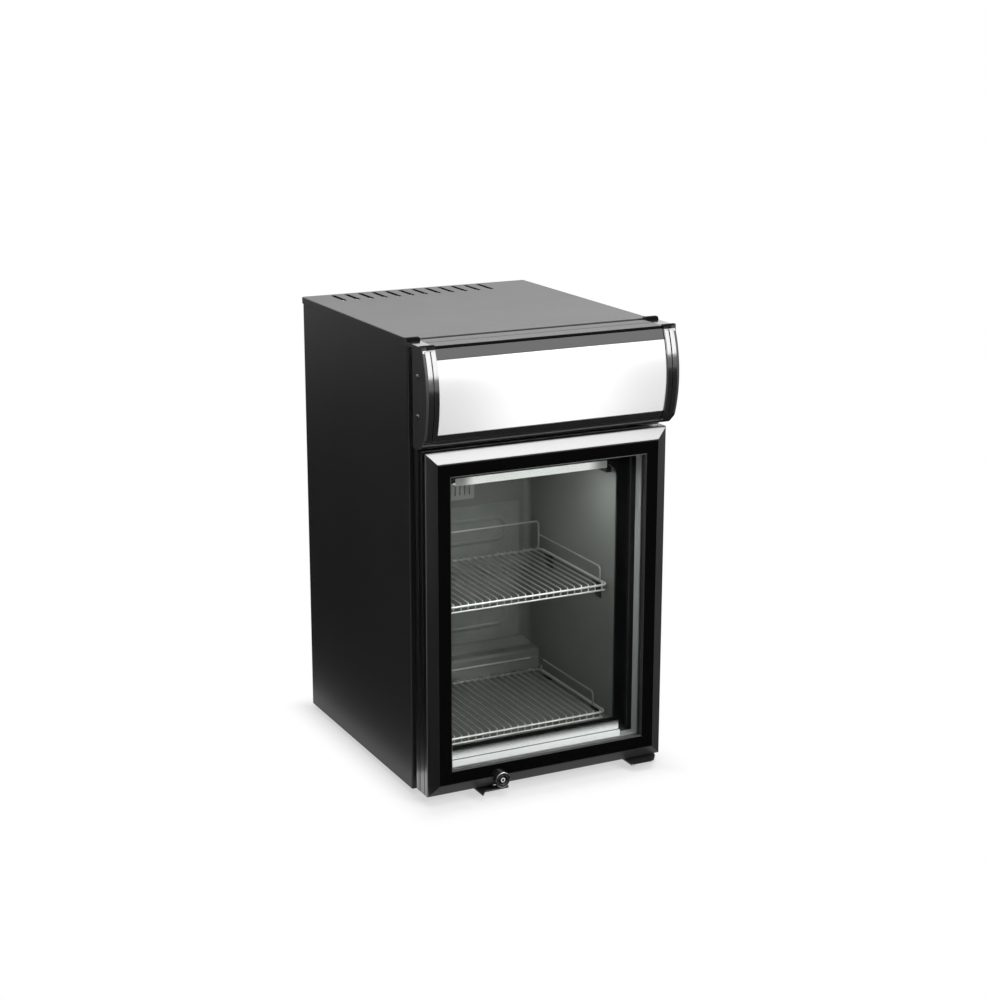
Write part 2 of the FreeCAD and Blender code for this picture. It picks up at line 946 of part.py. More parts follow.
def door_gasket():
    """The magnetic gasket: foot in its slot, base, folded bellows and flat head."""
    middle = gasket_width / 2
    neck = middle - gasket_foot_width / 2
    outer = middle + gasket_foot_width / 2
    bellows_end = door_back + gasket_base + gasket_bellows
    waist = bellows_end - gasket_bellows / 2
    fold = gasket_width * gasket_waist_share
    section = [
        (neck, door_back - gasket_foot_depth),
        (outer, door_back - gasket_foot_depth),
        (outer, door_back),
        (gasket_width, door_back),
        (gasket_width, door_back + gasket_base),
        (gasket_width - fold, waist),
        (gasket_width, bellows_end),
        (gasket_width, -fit_gap),
        (0, -fit_gap),
        (0, bellows_end),
        (fold, waist),
        (0, door_back + gasket_base),
        (0, door_back),
        (neck, door_back),
    ]
    return closed_frame(section, gasket_inset)


# Hinges


def hinge_bushes():
    """Two flanged nylon bushes, one at each end of the door's hinge stile."""
    bore = pin_diameter + 2 * pin_play
    flange = door_lift - bracket_thickness - bracket_gap - plate_drop
    steps = [
        (-flange, bush_flange_diameter),
        (0, bush_flange_diameter),
        (0, bush_diameter),
        (bush_length, bush_diameter),
    ]
    body = turned(at(pin_x, pin_y, door_bottom), Z, steps, bush_sides)
    hole = rod(at(pin_x, pin_y, door_bottom - overrun), Z, bore, overrun + pin_reach + fit_gap)
    lower = body.cut(hole)
    flange = canopy_gap - top_bracket_thickness - 2 * bracket_gap
    steps = [
        (0, bush_diameter),
        (bush_length, bush_diameter),
        (bush_length, bush_flange_diameter),
        (bush_length + flange, bush_flange_diameter),
    ]
    body = turned(at(pin_x, pin_y, door_top - bush_length), Z, steps, bush_sides)
    hole = rod(at(pin_x, pin_y, door_top - pin_reach - fit_gap), Z, bore, pin_reach + overrun + fit_gap)
    return Part.makeCompound([lower, body.cut(hole)])


def bracket_plan(reach):
    """The hinge plate seen from above, with its front corner cut back at the outer side."""
    inner = half - bracket_inner_inset
    outer = half - bracket_outer_inset
    return [
        (inner, 0),
        (inner, -reach, bracket_corner),
        (half - bracket_nose_inset, -reach, bracket_corner),
        (outer, -bracket_nose_setback, bracket_corner),
        (outer, 0),
    ]


def bracket_screw_places(z):
    inner = half - bracket_inner_inset
    span = bracket_inner_inset - bracket_outer_inset
    return [at(inner + span * share, -bracket_leg_thickness, z) for share in bracket_screw_shares]


def hinge_bracket_bottom():
    """The angle under the door that carries it on the lower pin."""
    low = under + plate_drop
    plate = along_z(clipped(bracket_plan(bracket_reach)), (low, low + bracket_thickness))
    inner = half - bracket_inner_inset
    outer = half - bracket_outer_inset
    leg = block((inner, outer), (-bracket_leg_thickness, 0), (low, low + bracket_leg_height))
    boss = stud(at(pin_x, pin_y, low - plate_drop), Z, hinge_boss_diameter, plate_drop, foot_sides)
    deep = bracket_thickness + 2 * overrun
    pin_hole = stud(at(pin_x, pin_y, low - overrun), Z, pin_diameter, deep, bush_sides)
    return merged([plate, leg, boss]).cut(pin_hole)


def hinge_bracket_top():
    """The angle above the door, tucked under the canopy."""
    low = door_top + canopy_gap - top_bracket_thickness - bracket_gap
    reach = pin_setback + hinge_boss_diameter / 2
    inner = half - bracket_inner_inset
    outer = half - bracket_outer_inset
    corners = [
        (inner, 0),
        (inner + bracket_inner_inset / 3, -reach, bracket_corner),
        (outer, -reach, bracket_corner),
        (outer, 0),
    ]
    plate = along_z(clipped(corners), (low, low + top_bracket_thickness))
    leg = block((inner, outer), (-bracket_leg_thickness, 0), (low, low + bracket_leg_height))
    deep = top_bracket_thickness + 2 * overrun
    pin_hole = stud(at(pin_x, pin_y, low - overrun), Z, pin_diameter, deep, bush_sides)
    return merged([plate, leg]).cut(pin_hole)


def hinge_pins():
    """The two pins, riveted into their brackets."""
    low = under + plate_drop
    bottom = rod(at(pin_x, pin_y, low), Z, pin_diameter, door_bottom + pin_reach - low)
    high = door_top + canopy_gap - bracket_gap
    upper = rod(at(pin_x, pin_y, high), Z * -1, pin_diameter, high - door_top + pin_reach)
    return Part.makeCompound([bottom, upper])


def hinge_screw_places():
    low = under + plate_drop + bracket_leg_height / 2
    high = door_top + canopy_gap - top_bracket_thickness - bracket_gap + bracket_leg_height / 2
    return bracket_screw_places(low) + bracket_screw_places(high)


# Lock


def lock_housing():
    """The round housing on the bottom rail, chamfered in front, with the barrel's bore."""
    face = door_crest - lock_projection
    steps = [(0, lock_diameter - 2 * lock_rim), (lock_rim, lock_diameter), (lock_projection, lock_diameter)]
    body = turned(at(lock_x, face, lock_z), Y, steps, lock_sides)
    deep = lock_projection + 2 * overrun
    bore = rod(at(lock_x, face - overrun, lock_z), Y, barrel_diameter + 2 * barrel_play, deep)
    return body.cut(bore)


def lock_barrel():
    """The barrel with its key slot in front and the cam fixed on its inner end."""
    face = door_crest - lock_projection + barrel_head
    middle = door_crest + cam_setback
    length = middle + cam_thickness / 2 - face
    barrel = rod(at(lock_x, face, lock_z), Y, barrel_diameter, length)
    key = block(
        (lock_x - key_slot_width / 2, lock_x + key_slot_width / 2),
        (face - overrun, face + key_slot_depth),
        (lock_z - key_slot_height / 2, lock_z + key_slot_height / 2),
    )
    end = cam_width / 2
    corners = rectangle((lock_x - end, lock_x + cam_length), (lock_z - end, lock_z + end))
    cam = along_y(corners, (middle - cam_thickness / 2, middle + cam_thickness / 2))
    return merged([barrel, cam]).cut(key)


def strike_plate():
    """The thin plate under the door with a slot for the cam and a pointed ear in front."""
    left = -half + strike_left_inset
    right = -half + strike_right_inset
    low = under + plate_drop
    ear = strike_ear_width
    corners = [
        (left, 0),
        (left, -strike_ear_reach),
        (left + ear, -strike_reach),
        (right, -strike_reach, bracket_corner),
        (right, 0),
    ]
    plate = along_z(corners, (low, low + strike_thickness))
    leg_top = low + bracket_leg_height
    leg = block((left, right), (-bracket_leg_thickness, 0), (low, leg_top))
    half_slot = cam_thickness / 2 + cam_clearance
    middle = door_crest + cam_setback
    slot = block(
        (lock_x - cam_width / 2 - cam_clearance, lock_x + cam_slot_side - cam_clearance),
        (middle - half_slot, middle + half_slot),
        (low - overrun, low + strike_thickness + overrun / 2),
    )
    return merged([plate, leg]).cut(slot)


def strike_screw_places():
    left = -half + strike_left_inset
    span = strike_right_inset - strike_left_inset
    z = under + plate_drop + bracket_leg_height / 2
    return [at(left + span * share, -bracket_leg_thickness, z) for share in strike_screw_shares]


# Canopy


def circle_through(a, b, c):
    """The centre (y, z) and radius of the circle through three (y, z) points."""
    arc = Part.Arc(at(0, a[0], a[1]), at(0, b[0], b[1]), at(0, c[0], c[1])).toShape()
    return (arc.Curve.Center.y, arc.Curve.Center.z), arc.Curve.Radius


cap_curve = (
    (-cap_top_reach, canopy_bottom + cap_top_height),
    (-cap_bulge_reach, canopy_bottom + cap_bulge_height),
    (-cap_foot_reach, canopy_bottom + cap_foot_height),
)
cap_centre, cap_radius = circle_through(*cap_curve)
sign_radius = cap_radius - sign_inset


def front_y(radius, z):
    """Where the curved front of the given radius lies at a height."""
    return cap_centre[0] - math.sqrt(radius ** 2 - (z - cap_centre[1]) ** 2)


def curve_points(radius, z):
    """Points (y, z) along the curved front of the given radius, from one height to another."""
    points = []
    for i in range(curve_chords + 1):
        height = z[0] + (z[1] - z[0]) * i / curve_chords
        points.append((front_y(radius, height), height))
    return points


cap_span = (canopy_bottom + cap_foot_height, canopy_bottom + cap_top_height)
front_reach = -min(point[0] for point in curve_points(cap_radius + rib_proud, cap_span))
front_plane = front_reach - (front_reach + cabinet_depth + lid_overhang) / 2


def curved_skin(radius, thickness, x, z):
    """A strip of the canopy's curved front between two heights."""
    section = curve_points(radius, z) + curve_points(radius - thickness, z)[::-1]
    return along_x(section, x)


def cap_outline(back):
    """The end cap from the side: curved front, rounded foot, brow and raised rear corner."""
    crown = canopy_bottom + cap_top_height
    roof = crown + brow_height
    high = roof + lump_height
    brow = front_y(cap_radius, crown)
    return curve_points(cap_radius, cap_span) + [
        (brow, roof + brow_rise),
        (brow + brow_length, roof + brow_rise),
        (brow + brow_length + brow_rise, roof),
        (-cap_back - lump_length - lump_slope, roof),
        (-cap_back - lump_length, high),
        (-cap_back, high),
        (-cap_back, roof - lump_height),
        (-back, roof - lump_height),
        (-back, canopy_bottom),
        (-cap_toe_reach, canopy_bottom),
    ]


def end_cap():
    """The left end cap: a moulded shell, open towards the canopy, with two ribs down its front."""
    rebate = -canopy_half + cap_rebate
    side = along_x(cap_outline(cap_side_setback), (-canopy_half, rebate))
    body = merged([side, along_x(cap_outline(cap_back), (rebate, -cap_inner))])
    wall = cap_wall
    pocket = [
        (-cap_side_setback - wall, canopy_bottom + wall * 2),
        (-cap_toe_reach, canopy_bottom + wall * 2),
        (-cap_foot_reach + wall * 2, canopy_bottom + cap_foot_height + wall),
        (-cap_bulge_reach + wall * 3, canopy_bottom + cap_bulge_height),
        (-cap_top_reach + wall * 2, canopy_bottom + cap_top_height - wall),
        (-cap_side_setback - wall, canopy_bottom + cap_top_height - wall),
    ]
    hollow = along_x(pocket, (-canopy_half + wall, -cap_inner + overrun))
    ribs = []
    for share in rib_shares:
        x = -canopy_half + cap_width * share
        ribs.append(curved_skin(cap_radius + rib_proud, wall, (x, x + rib_width), cap_span))
    return merged([body.cut(hollow)] + ribs)


def cap_screw_places():
    return [at(-canopy_half, -cap_screw_setback, canopy_bottom + height) for height in cap_screw_heights]


sign_low = canopy_bottom + sign_bottom_height
sign_high = canopy_bottom + sign_top_height
strip_x = (-cap_inner + fit_gap, cap_inner - fit_gap)


def sign_panel():
    """The curved translucent panel."""
    return curved_skin(sign_radius, sign_thickness, strip_x, (sign_low, sign_high))


def strip_seat(z):
    """The ledge that holds the sign from behind."""
    return curved_skin(sign_radius - sign_thickness - fit_gap, strip_thickness, strip_x, z)


def top_strip():
    """The moulded strip above the sign, turned back over the canopy to the cabinet."""
    crown = canopy_bottom + cap_top_height
    front = curved_skin(sign_radius, strip_thickness, strip_x, (sign_high, crown))
    face_y = front_y(sign_radius, crown)
    roof = [
        (face_y, crown),
        (face_y + strip_thickness, crown + brow_height, strip_thickness / 2),
        (-cap_back, crown + brow_height),
        (-cap_back, crown + brow_height - strip_thickness),
        (face_y + strip_thickness * 2, crown + brow_height - strip_thickness),
        (face_y + strip_thickness, crown),
    ]
    seat = strip_seat((sign_high - sign_seat, sign_high + sign_seat))
    root = curved_skin(sign_radius, strip_thickness * 2, strip_x, (sign_high, sign_high + sign_seat))
    return merged([front, along_x(roof, strip_x), seat, root])


def lower_strip():
    """The moulded strip below the sign, rounded under and turned up at its rear edge."""
    foot = canopy_bottom + cap_foot_height
    front = curved_skin(sign_radius, strip_thickness, strip_x, (foot, sign_low))
    face_y = front_y(sign_radius, foot)
    back = -lower_strip_back
    under_lip = [
        (face_y, foot),
        (-cap_toe_reach, canopy_bottom, cap_corner),
        (back, canopy_bottom),
        (back, canopy_bottom + lower_strip_lip),
        (back - strip_thickness, canopy_bottom + lower_strip_lip),
        (back - strip_thickness, canopy_bottom + strip_thickness),
        (-cap_toe_reach, canopy_bottom + strip_thickness, cap_corner - strip_thickness),
        (face_y + strip_thickness, foot),
    ]
    seat = strip_seat((sign_low - sign_seat, sign_low + sign_seat))
    root = curved_skin(sign_radius, strip_thickness * 2, strip_x, (sign_low - sign_seat, sign_low))
    return merged([front, along_x(under_lip, strip_x), seat, root])


def canopy_tray():
    """The folded steel tray on the header panel that carries the canopy."""
    low = canopy_bottom + lower_strip_lip + fit_gap
    high = canopy_bottom + cap_top_height + brow_height - strip_thickness - fit_gap
    t = tray_thickness
    corners = [
        (0, low),
        (-tray_depth, low),
        (-tray_depth, low + t),
        (-t, low + t),
        (-t, high - t),
        (-tray_depth + t * 2, high - t),
        (-tray_depth + t * 2, high),
        (0, high),
    ]
    channel = along_x(corners, (-cap_inner, cap_inner))
    inner = half - bracket_inner_inset
    notch_z = (low - overrun, canopy_bottom + tray_notch_height)
    notch = block((inner - overrun, half), (-tray_notch_depth, overrun), notch_z)
    ends = []
    for x in (-cap_inner, cap_inner - t):
        ends.append(block((x, x + t), (-tray_depth + t * 2, -tray_notch_depth), (low, high)))
    return merged([channel] + ends).cut(notch)


def canopy_lamp_centre(x):
    return at(x, -canopy_lamp_setback, canopy_bottom + canopy_lamp_height)


def canopy_lamp():
    """The lamp tube with its narrower end caps."""
    cap = lamp_holder_width / 2
    length = canopy_lamp_length
    steps = [
        (-cap, canopy_lamp_cap),
        (0, canopy_lamp_cap),
        (0, canopy_lamp_diameter),
        (length, canopy_lamp_diameter),
        (length, canopy_lamp_cap),
        (length + cap, canopy_lamp_cap),
    ]
    return turned(canopy_lamp_centre(-length / 2), X, steps, foot_sides)


def canopy_lamp_holders():
    """Two holders fixed to the reflector, each with a socket for the tube's end."""
    s = lamp_holder_size / 2
    start = canopy_lamp_length / 2 + fit_gap
    z = canopy_bottom + canopy_lamp_height
    back = -tray_thickness - reflector_thickness
    corners = [
        (back, z - s),
        (back, z + s),
        (-canopy_lamp_setback, z + s),
        (-canopy_lamp_setback - s, z + s / 2),
        (-canopy_lamp_setback - s, z - s / 2),
        (-canopy_lamp_setback, z - s),
    ]
    body = along_x(corners, (start, start + lamp_holder_width))
    bore = canopy_lamp_cap + fit_gap
    right = body.cut(stud(canopy_lamp_centre(0), X, bore, start + lamp_holder_width / 2, foot_sides))
    return Part.makeCompound([mirrored(right), right])


def reflector():
    """The white sheet behind the lamp, folded forward along both edges."""
    z = canopy_bottom + canopy_lamp_height
    low = z - reflector_height / 2
    high = z + reflector_height / 2
    back = -tray_thickness
    front = back - reflector_thickness
    slant = reflector_lip / 2
    corners = [
        (back, low),
        (back, high),
        (back - reflector_lip, high + slant / 2),
        (back - reflector_lip, high + slant / 2 - reflector_thickness),
        (front, high - reflector_thickness),
        (front, low + reflector_thickness),
        (back - reflector_lip, low - slant / 2 + reflector_thickness),
        (back - reflector_lip, low - slant / 2),
    ]
    length = canopy_lamp_length / 2 + lamp_holder_width + fit_gap
    return along_x(corners, (-length, length))


# Shelves


def shelf_rod(x, level):
    """One rod of the shelf floor, bent down in front of the front wire to the ladder wire."""
    back = shelf_front_setback + shelf_depth + wire_size / 2
    knee = shelf_front_setback - fit_gap - wire_size / 2 - rod_size / 2
    z = level - rod_size / 2
    foot = level - rod_size - wire_size - ladder_drop
    return wire([at(x, back, z), at(x, knee, z), at(x, knee, foot)], rod_size, 0, rod_sides)


def shelf_grid(level):
    """The shelf: closed frame wire, the ladder wire below its front and the rods across."""
    side = shelf_width / 2 - wire_size / 2
    front = shelf_front_setback
    back = front + shelf_depth
    z = level - rod_size - wire_size / 2
    loop = [
        at(0, back, z),
        at(-side, back, z),
        at(-side, front, z),
        at(side, front, z),
        at(side, back, z),
        at(0, back, z),
    ]
    reach = rod_row + rod_size
    ladder_y = front - fit_gap
    ladder = [at(-reach, ladder_y, z - ladder_drop), at(reach, ladder_y, z - ladder_drop)]
    pieces = [wire(loop, wire_size, frame_bend_radius, wire_sides, True)]
    pieces.append(wire(ladder, wire_size, 0, wire_sides))
    return merged(pieces + [shelf_rod(i * rod_pitch - rod_row, level) for i in range(rod_count)])


def upper_shelf_rail():
    """The bent wires that keep goods from the walls: two sides and a higher bow at the rear."""
    front = shelf_front_setback + upper_rail_setback
    inner = shelf_front_setback + shelf_depth - rod_size * 2
    foot = cave_floor + upper_shelf_level
    high = foot + upper_rail_side_height
    tall = foot + upper_rail_rear_height
    x = rod_row
    bow = [at(-x, inner, foot), at(-x, inner, tall), at(x, inner, tall), at(x, inner, foot)]
    pieces = [wire(bow, rod_size, rail_bend_radius, wire_sides)]
    for side in (-x, x):
        arm = [at(side, front, foot), at(side, front, high), at(side, inner, high)]
        pieces.append(wire(arm, rod_size, rail_bend_radius, wire_sides))
    return merged(pieces)


def lower_shelf_rail():
    """The low rail of the bottom shelf: one bent wire round three sides on four posts."""
    front = shelf_front_setback + lower_rail_setback
    inner = shelf_front_setback + shelf_depth - rod_size * 2
    foot = cave_floor + lower_shelf_level
    high = foot + lower_rail_height
    x = rod_row
    loop = [
        at(-x, front, foot),
        at(-x, front, high),
        at(-x, inner, high),
        at(x, inner, high),
        at(x, front, high),
        at(x, front, foot),
    ]
    post_y = inner - rail_bend_radius * 2
    pieces = [wire(loop, rod_size, rail_bend_radius, wire_sides)]
    for side in (-x, x):
        post = [at(side, post_y, foot), at(side, post_y, high)]
        pieces.append(wire(post, rod_size, 0, wire_sides))
    return merged(pieces)


def shelf_brackets():
    """Eight moulded brackets on the side walls, each with a ledge for a shelf's frame wire."""
    room = cave(0)
    brackets = []
    for level in (cave_floor + upper_shelf_level, cave_floor + lower_shelf_level):
        ledge = level - rod_size - wire_size - fit_gap
        low = max(ledge - bracket_drop, cave_floor)
        nose = min(bracket_nose, (ledge - low) / 2)
        for middle in (bracket_front_setback, bracket_rear_setback):
            corners = [
                (-cave_half, ledge),
                (-cave_half + bracket_ledge, ledge),
                (-cave_half + bracket_ledge, ledge - nose),
                (-cave_half + bracket_foot, low),
                (-cave_half, low),
            ]
            along = (middle - bracket_width / 2, middle + bracket_width / 2)
            left = along_y(corners, along).common(room)
            brackets += [left, mirrored(left)]
    return Part.makeCompound(brackets)


# Evaporator, thermostat and interior lamp


def evaporator_plate():
    """The roll-bonded plate with its winding refrigerant channel standing proud of it."""
    back = cave_back - evaporator_wall_gap
    front = back - evaporator_thickness
    low = cave_floor + hump_height + evaporator_clearance
    high = cave_ceiling - evaporator_top_gap
    wide = evaporator_width / 2
    cut = channel_width / 2
    plate = along_y(
        [
            (-wide + cut, low),
            (wide - cut, low),
            (wide, low + cut),
            (wide, high - cut),
            (wide - cut, high),
            (-wide + cut, high),
            (-wide, high - cut),
            (-wide, low + cut),
        ],
        (front, back),
    )
    pitch = (high - low - 2 * channel_margin) / (channel_rows - 1)
    run = wide - channel_margin
    path = []
    for i in range(channel_rows):
        z = low + channel_margin + i * pitch
        ends = [at(-run, front, z), at(run, front, z)]
        path += ends if i % 2 == 0 else ends[::-1]
    tube = wire(path, channel_width, pitch / 2, channel_sides)
    proud = block((-wide, wide), (front - channel_width, front), (low, high))
    return merged([plate, tube.common(proud)])


def thermostat_box():
    """The moulded box high on the back wall that holds the thermostat."""
    right = thermostat_right
    left = right - thermostat_width
    high = cave_ceiling - thermostat_top_gap
    low = high - thermostat_height
    front = cave_back - thermostat_depth
    body = along_y(clipped(rectangle((left, right), (low, high), thermostat_corner / 2)), (front, cave_back))
    wall = lid_wall
    room = block((left + wall, right - wall), (front + wall, cave_back + overrun), (low + wall, high - wall))
    bore_diameter = knob_shaft_diameter + 2 * knob_shaft_play
    bore = rod(at(knob_x, front - overrun, knob_z), Y, bore_diameter, overrun * 3)
    vents = []
    for i in range(thermostat_vent_count):
        x = right - thermostat_corner * 2 - i * thermostat_corner * 2
        across = (x - thermostat_corner / 2, x)
        vents.append(block(across, (front - overrun, front + overrun), (low + wall * 3, high - wall * 3)))
    return body.cut([room, bore] + vents)


def thermostat_knob():
    """The fluted knob with a pointer groove and its shaft."""
    front = cave_back - thermostat_depth
    face = front - fit_gap - knob_height
    corners = []
    for i in range(2 * knob_grip_count):
        turn = math.pi * i / knob_grip_count
        reach = knob_diameter / 2 - (knob_grip_depth if i % 2 else 0)
        corners.append((knob_x + reach * math.cos(turn), knob_z + reach * math.sin(turn)))
    body = along_y(corners, (face, front - fit_gap))
    shaft = rod(at(knob_x, front - fit_gap, knob_z), Y, knob_shaft_diameter, knob_shaft_reach)
    pointer = block(
        (knob_x - knob_pointer_width / 2, knob_x + knob_pointer_width / 2),
        (face - overrun, face + knob_pointer_depth),
        (knob_z, knob_z + knob_diameter / 2 - knob_grip_depth * 2),
    )
    return merged([body, shaft]).cut(pointer)


def lamp_section(grow):
    """The lamp cover's section under the ceiling as (y, z) corners."""
    front = lamp_cover_front + grow
    back = lamp_cover_front + lamp_cover_depth - grow
    low = cave_ceiling - lamp_cover_height + grow
    radius = lamp_cover_corner - grow
    return [
        (front, cave_ceiling - fit_gap),
        (front, low, radius),
        (back, low, radius),
        (back, cave_ceiling - fit_gap),
    ]


def lamp_cover():
    """The translucent trough of the interior lamp."""
    length = lamp_cover_length / 2
    outer = along_x(clipped(lamp_section(0)), (-length, length))
    room = [
        (corner[0], corner[1] + (overrun if i in (0, 3) else 0)) + tuple(corner[2:])
        for i, corner in enumerate(lamp_section(lamp_cover_wall))
    ]
    return outer.cut(along_x(clipped(room), (-length - overrun, length + overrun))).common(cave(-fit_gap))


def lamp_ends():
    """The dark end holders of the interior lamp."""
    length = lamp_cover_length / 2
    margin = lamp_end_margin
    corners = [
        (lamp_cover_front - margin, cave_ceiling - fit_gap),
        (lamp_cover_front - margin, cave_ceiling - lamp_cover_height - margin),
        (lamp_cover_front + lamp_cover_depth + margin, cave_ceiling - lamp_cover_height - margin),
        (lamp_cover_front + lamp_cover_depth + margin, cave_ceiling - fit_gap),
    ]
    left = along_x(corners, (-length - lamp_end_length, -length)).common(cave(-fit_gap))
    return Part.makeCompound([left, mirrored(left)])


def lamp_board():
    """The strip of lamps on the ceiling inside the cover."""
    middle = lamp_cover_front + lamp_cover_depth / 2
    length = lamp_cover_length / 2 - liner_corner / 2
    high = cave_ceiling - fit_gap
    low = high - lamp_board_height / 2
    across = (middle - lamp_board_depth / 2, middle + lamp_board_depth / 2)
    pieces = [block((-length, length), across, (low, high))]
    reach = lamp_spot / 2
    for i in range(lamp_spot_count):
        x = (i - (lamp_spot_count - 1) / 2) * 2 * length / lamp_spot_count
        square = (middle - reach, middle + reach)
        pieces.append(block((x - reach, x + reach), square, (high - lamp_board_height, low)))
    return merged(pieces)


# Machine compartment


def stadium(inset, z):
    """The compressor's round-ended outline at one height, drawn in by an inset."""
    radius = compressor_width / 2 - inset
    centre = (compressor_length - compressor_width) / 2
    ring = []
    for side in (1, -1):
        for i in range(shell_sides + 1):
            turn = math.pi * (i / shell_sides - 1 / 2)
            x = side * (centre + radius * math.cos(turn))
            ring.append(at(compressor_offset + x, compressor_y + side * radius * math.sin(turn), z))
    return ring


def compressor():
    """The welded shell with its seam flange and dome, its foot plates and the line stubs."""
    high = shell_low + compressor_height
    seam = shell_low + compressor_height * seam_height_share
    seam_low = seam - seam_thickness / 2
    seam_high = seam + seam_thickness / 2
    rings = [
        stadium(compressor_base_corner, shell_low),
        stadium(0, shell_low + compressor_base_corner),
        stadium(0, seam_low),
        stadium(-seam_width, seam_low),
        stadium(-seam_width, seam_high),
        stadium(0, seam_high),
        stadium(0, high - compressor_dome),
        stadium(compressor_dome * dome_share, high - compressor_dome / 2),
        stadium(compressor_dome, high),
    ]
    pieces = [skinned(rings)]
    feet_z = (shell_low, shell_low + compressor_foot_thickness)
    for x in compressor_foot_x():
        across = (x - compressor_foot_length / 2, x + compressor_foot_length / 2)
        pieces.append(block(across, (compressor_y - rail_width / 2, compressor_y + rail_width / 2), feet_z))
    spine = (compressor_y - compressor_foot_width / 2, compressor_y + compressor_foot_width / 2)
    pieces.append(block(compressor_foot_x(), spine, feet_z))
    port = line_diameter + port_wall
    pieces.append(stud(suction_port + X * overrun, X * -1, port, line_bend_radius + overrun, wire_sides))
    pieces.append(stud(discharge_port - X * overrun, X, port, line_bend_radius + overrun, wire_sides))
    holes = [
        stud(at(x, y, shell_low - overrun), Z, grommet_waist, overrun * 3, grommet_sides)
        for x, y in grommet_places()
    ]
    return merged(pieces).cut(holes)


def compressor_foot_x():
    reach = compressor_length / 2 + compressor_foot_length / 4
    return compressor_offset - reach, compressor_offset + reach


def grommet_places():
    y = rail_width / 2 - compressor_foot_width / 2
    return [(x, compressor_y + sign * y) for x in compressor_foot_x() for sign in (-1, 1)]


port_z = shell_low + compressor_height * port_height_share
suction_port = at(compressor_offset - compressor_length / 2, compressor_y, port_z)
discharge_port = at(compressor_offset + compressor_length / 2, compressor_y, port_z)


def grommets():
    """Four waisted rubber grommets that carry the compressor's feet."""
    low = grommet_height - compressor_foot_thickness
    waist = grommet_waist - fit_gap
    head = grommet_waist + port_wall
    steps = [
        (0, grommet_diameter),
        (low, grommet_diameter),
        (low, waist),
        (grommet_height, waist),
        (grommet_height, head),
        (grommet_height + compressor_foot_thickness, head),
    ]
    pieces = [turned(at(x, y, rail_top), Z, steps, grommet_sides) for x, y in grommet_places()]
    return Part.makeCompound(pieces)


def compressor_rail():
    """The channel across the base plate that the grommets stand on."""
    wide = (compressor_offset - rail_length / 2, compressor_offset + rail_length / 2)
    low = under + sheet
    y = (compressor_y - rail_width / 2, compressor_y + rail_width / 2)
    t = rail_thickness
    return block(wide, y, (low, low + t))


def relay_box():
    """The relay and overload housing clipped on the compressor's side."""
    x = compressor_offset - compressor_length / 2 - seam_width - fit_gap
    low = shell_low + compressor_height * relay_height_share
    along = (compressor_y - relay_depth / 2, compressor_y + relay_depth / 2)
    return block((x - relay_width, x), along, (low, low + relay_height))


def condenser():
    """The wound condenser tube with its upright wires, hung on two folded strips."""
    reach = condenser_run / 2
    points = []
    for i in range(condenser_rows):
        z = condenser_low + i * condenser_pitch
        ends = [at(-reach, condenser_y, z), at(reach, condenser_y, z)]
        points += ends if i % 2 == 0 else ends[::-1]
    pieces = [wire(points, condenser_tube, condenser_pitch / 2, wire_sides)]
    run = condenser_run - 2 * condenser_pitch
    wire_y = condenser_y + condenser_tube / 2
    tall = (condenser_low - condenser_pitch / 4, condenser_high + condenser_pitch / 4)
    for i in range(condenser_wire_count):
        x = -run / 2 + i * run / (condenser_wire_count - 1)
        across = (x - condenser_wire / 2, x + condenser_wire / 2)
        pieces.append(block(across, (wire_y, wire_y + condenser_wire), tall))
    front = wire_y + condenser_wire
    back = rear - sheet
    reach = half - condenser_strip_inset
    for z in (condenser_low + condenser_pitch / 2, condenser_high - condenser_pitch / 2):
        fold = [
            (front, z),
            (back - sheet, z),
            (back - sheet, z - condenser_strip),
            (back, z - condenser_strip),
            (back, z + sheet),
            (front + sheet, z + sheet),
            (front + sheet, z + condenser_strip),
            (front, z + condenser_strip),
        ]
        pieces.append(along_x(fold, (-reach, reach)))
    return Part.makeCompound(pieces)


def filter_drier():
    """The drier beside the coil's lower end, with its elbow to the coil and the capillary below."""
    coil_end = at(-condenser_run / 2, condenser_y, condenser_low)
    head = coil_end - X * (line_bend_radius * 2) - Z * line_bend_radius
    foot = head - Z * drier_length
    steps = [
        (0, drier_neck),
        (drier_taper, drier_diameter),
        (drier_length - drier_taper, drier_diameter),
        (drier_length, drier_neck),
    ]
    body = turned(foot, Z, steps, drier_sides)
    corner = coil_end - X * (line_bend_radius * 2)
    elbow = wire([head, corner, coil_end], drier_neck, line_bend_radius, line_sides)
    turn = foot - Z * line_bend_radius
    skin = at(turn.x, foam_rear + sheet, turn.z)
    capillary = wire([foot, turn, skin], capillary_diameter, capillary_bend_radius, line_sides)
    return [body, elbow, capillary]


def discharge_line():
    """The line from the compressor up to the top of the condenser coil."""
    start = discharge_port + X * line_bend_radius
    side = 1 if condenser_rows % 2 else -1
    end = at(side * condenser_run / 2, condenser_y, condenser_high)
    x = end.x + side * line_bend_radius * 2
    points = [
        start,
        at(x, start.y, start.z),
        at(x, condenser_y, start.z + line_bend_radius * 4),
        at(x, condenser_y, end.z),
        end,
    ]
    return wire(points, line_diameter, line_bend_radius, line_sides)


def suction_line():
    """The line from the insulation's rear skin down to the compressor."""
    start = suction_port - X * line_bend_radius
    x = start.x - suction_run
    skin = foam_rear + sheet
    y = skin + line_diameter + line_bend_radius
    points = [
        start,
        at(x, start.y, start.z),
        at(x, y, start.z + suction_rise),
        at(x, y, start.z + suction_height),
        at(x, skin, start.z + suction_height),
    ]
    return wire(points, line_diameter, line_bend_radius, line_sides)


def refrigerant_lines():
    """The discharge line, the suction line and the drier."""
    return Part.makeCompound([discharge_line(), suction_line()] + filter_drier())


# Rear cover, gland and switch


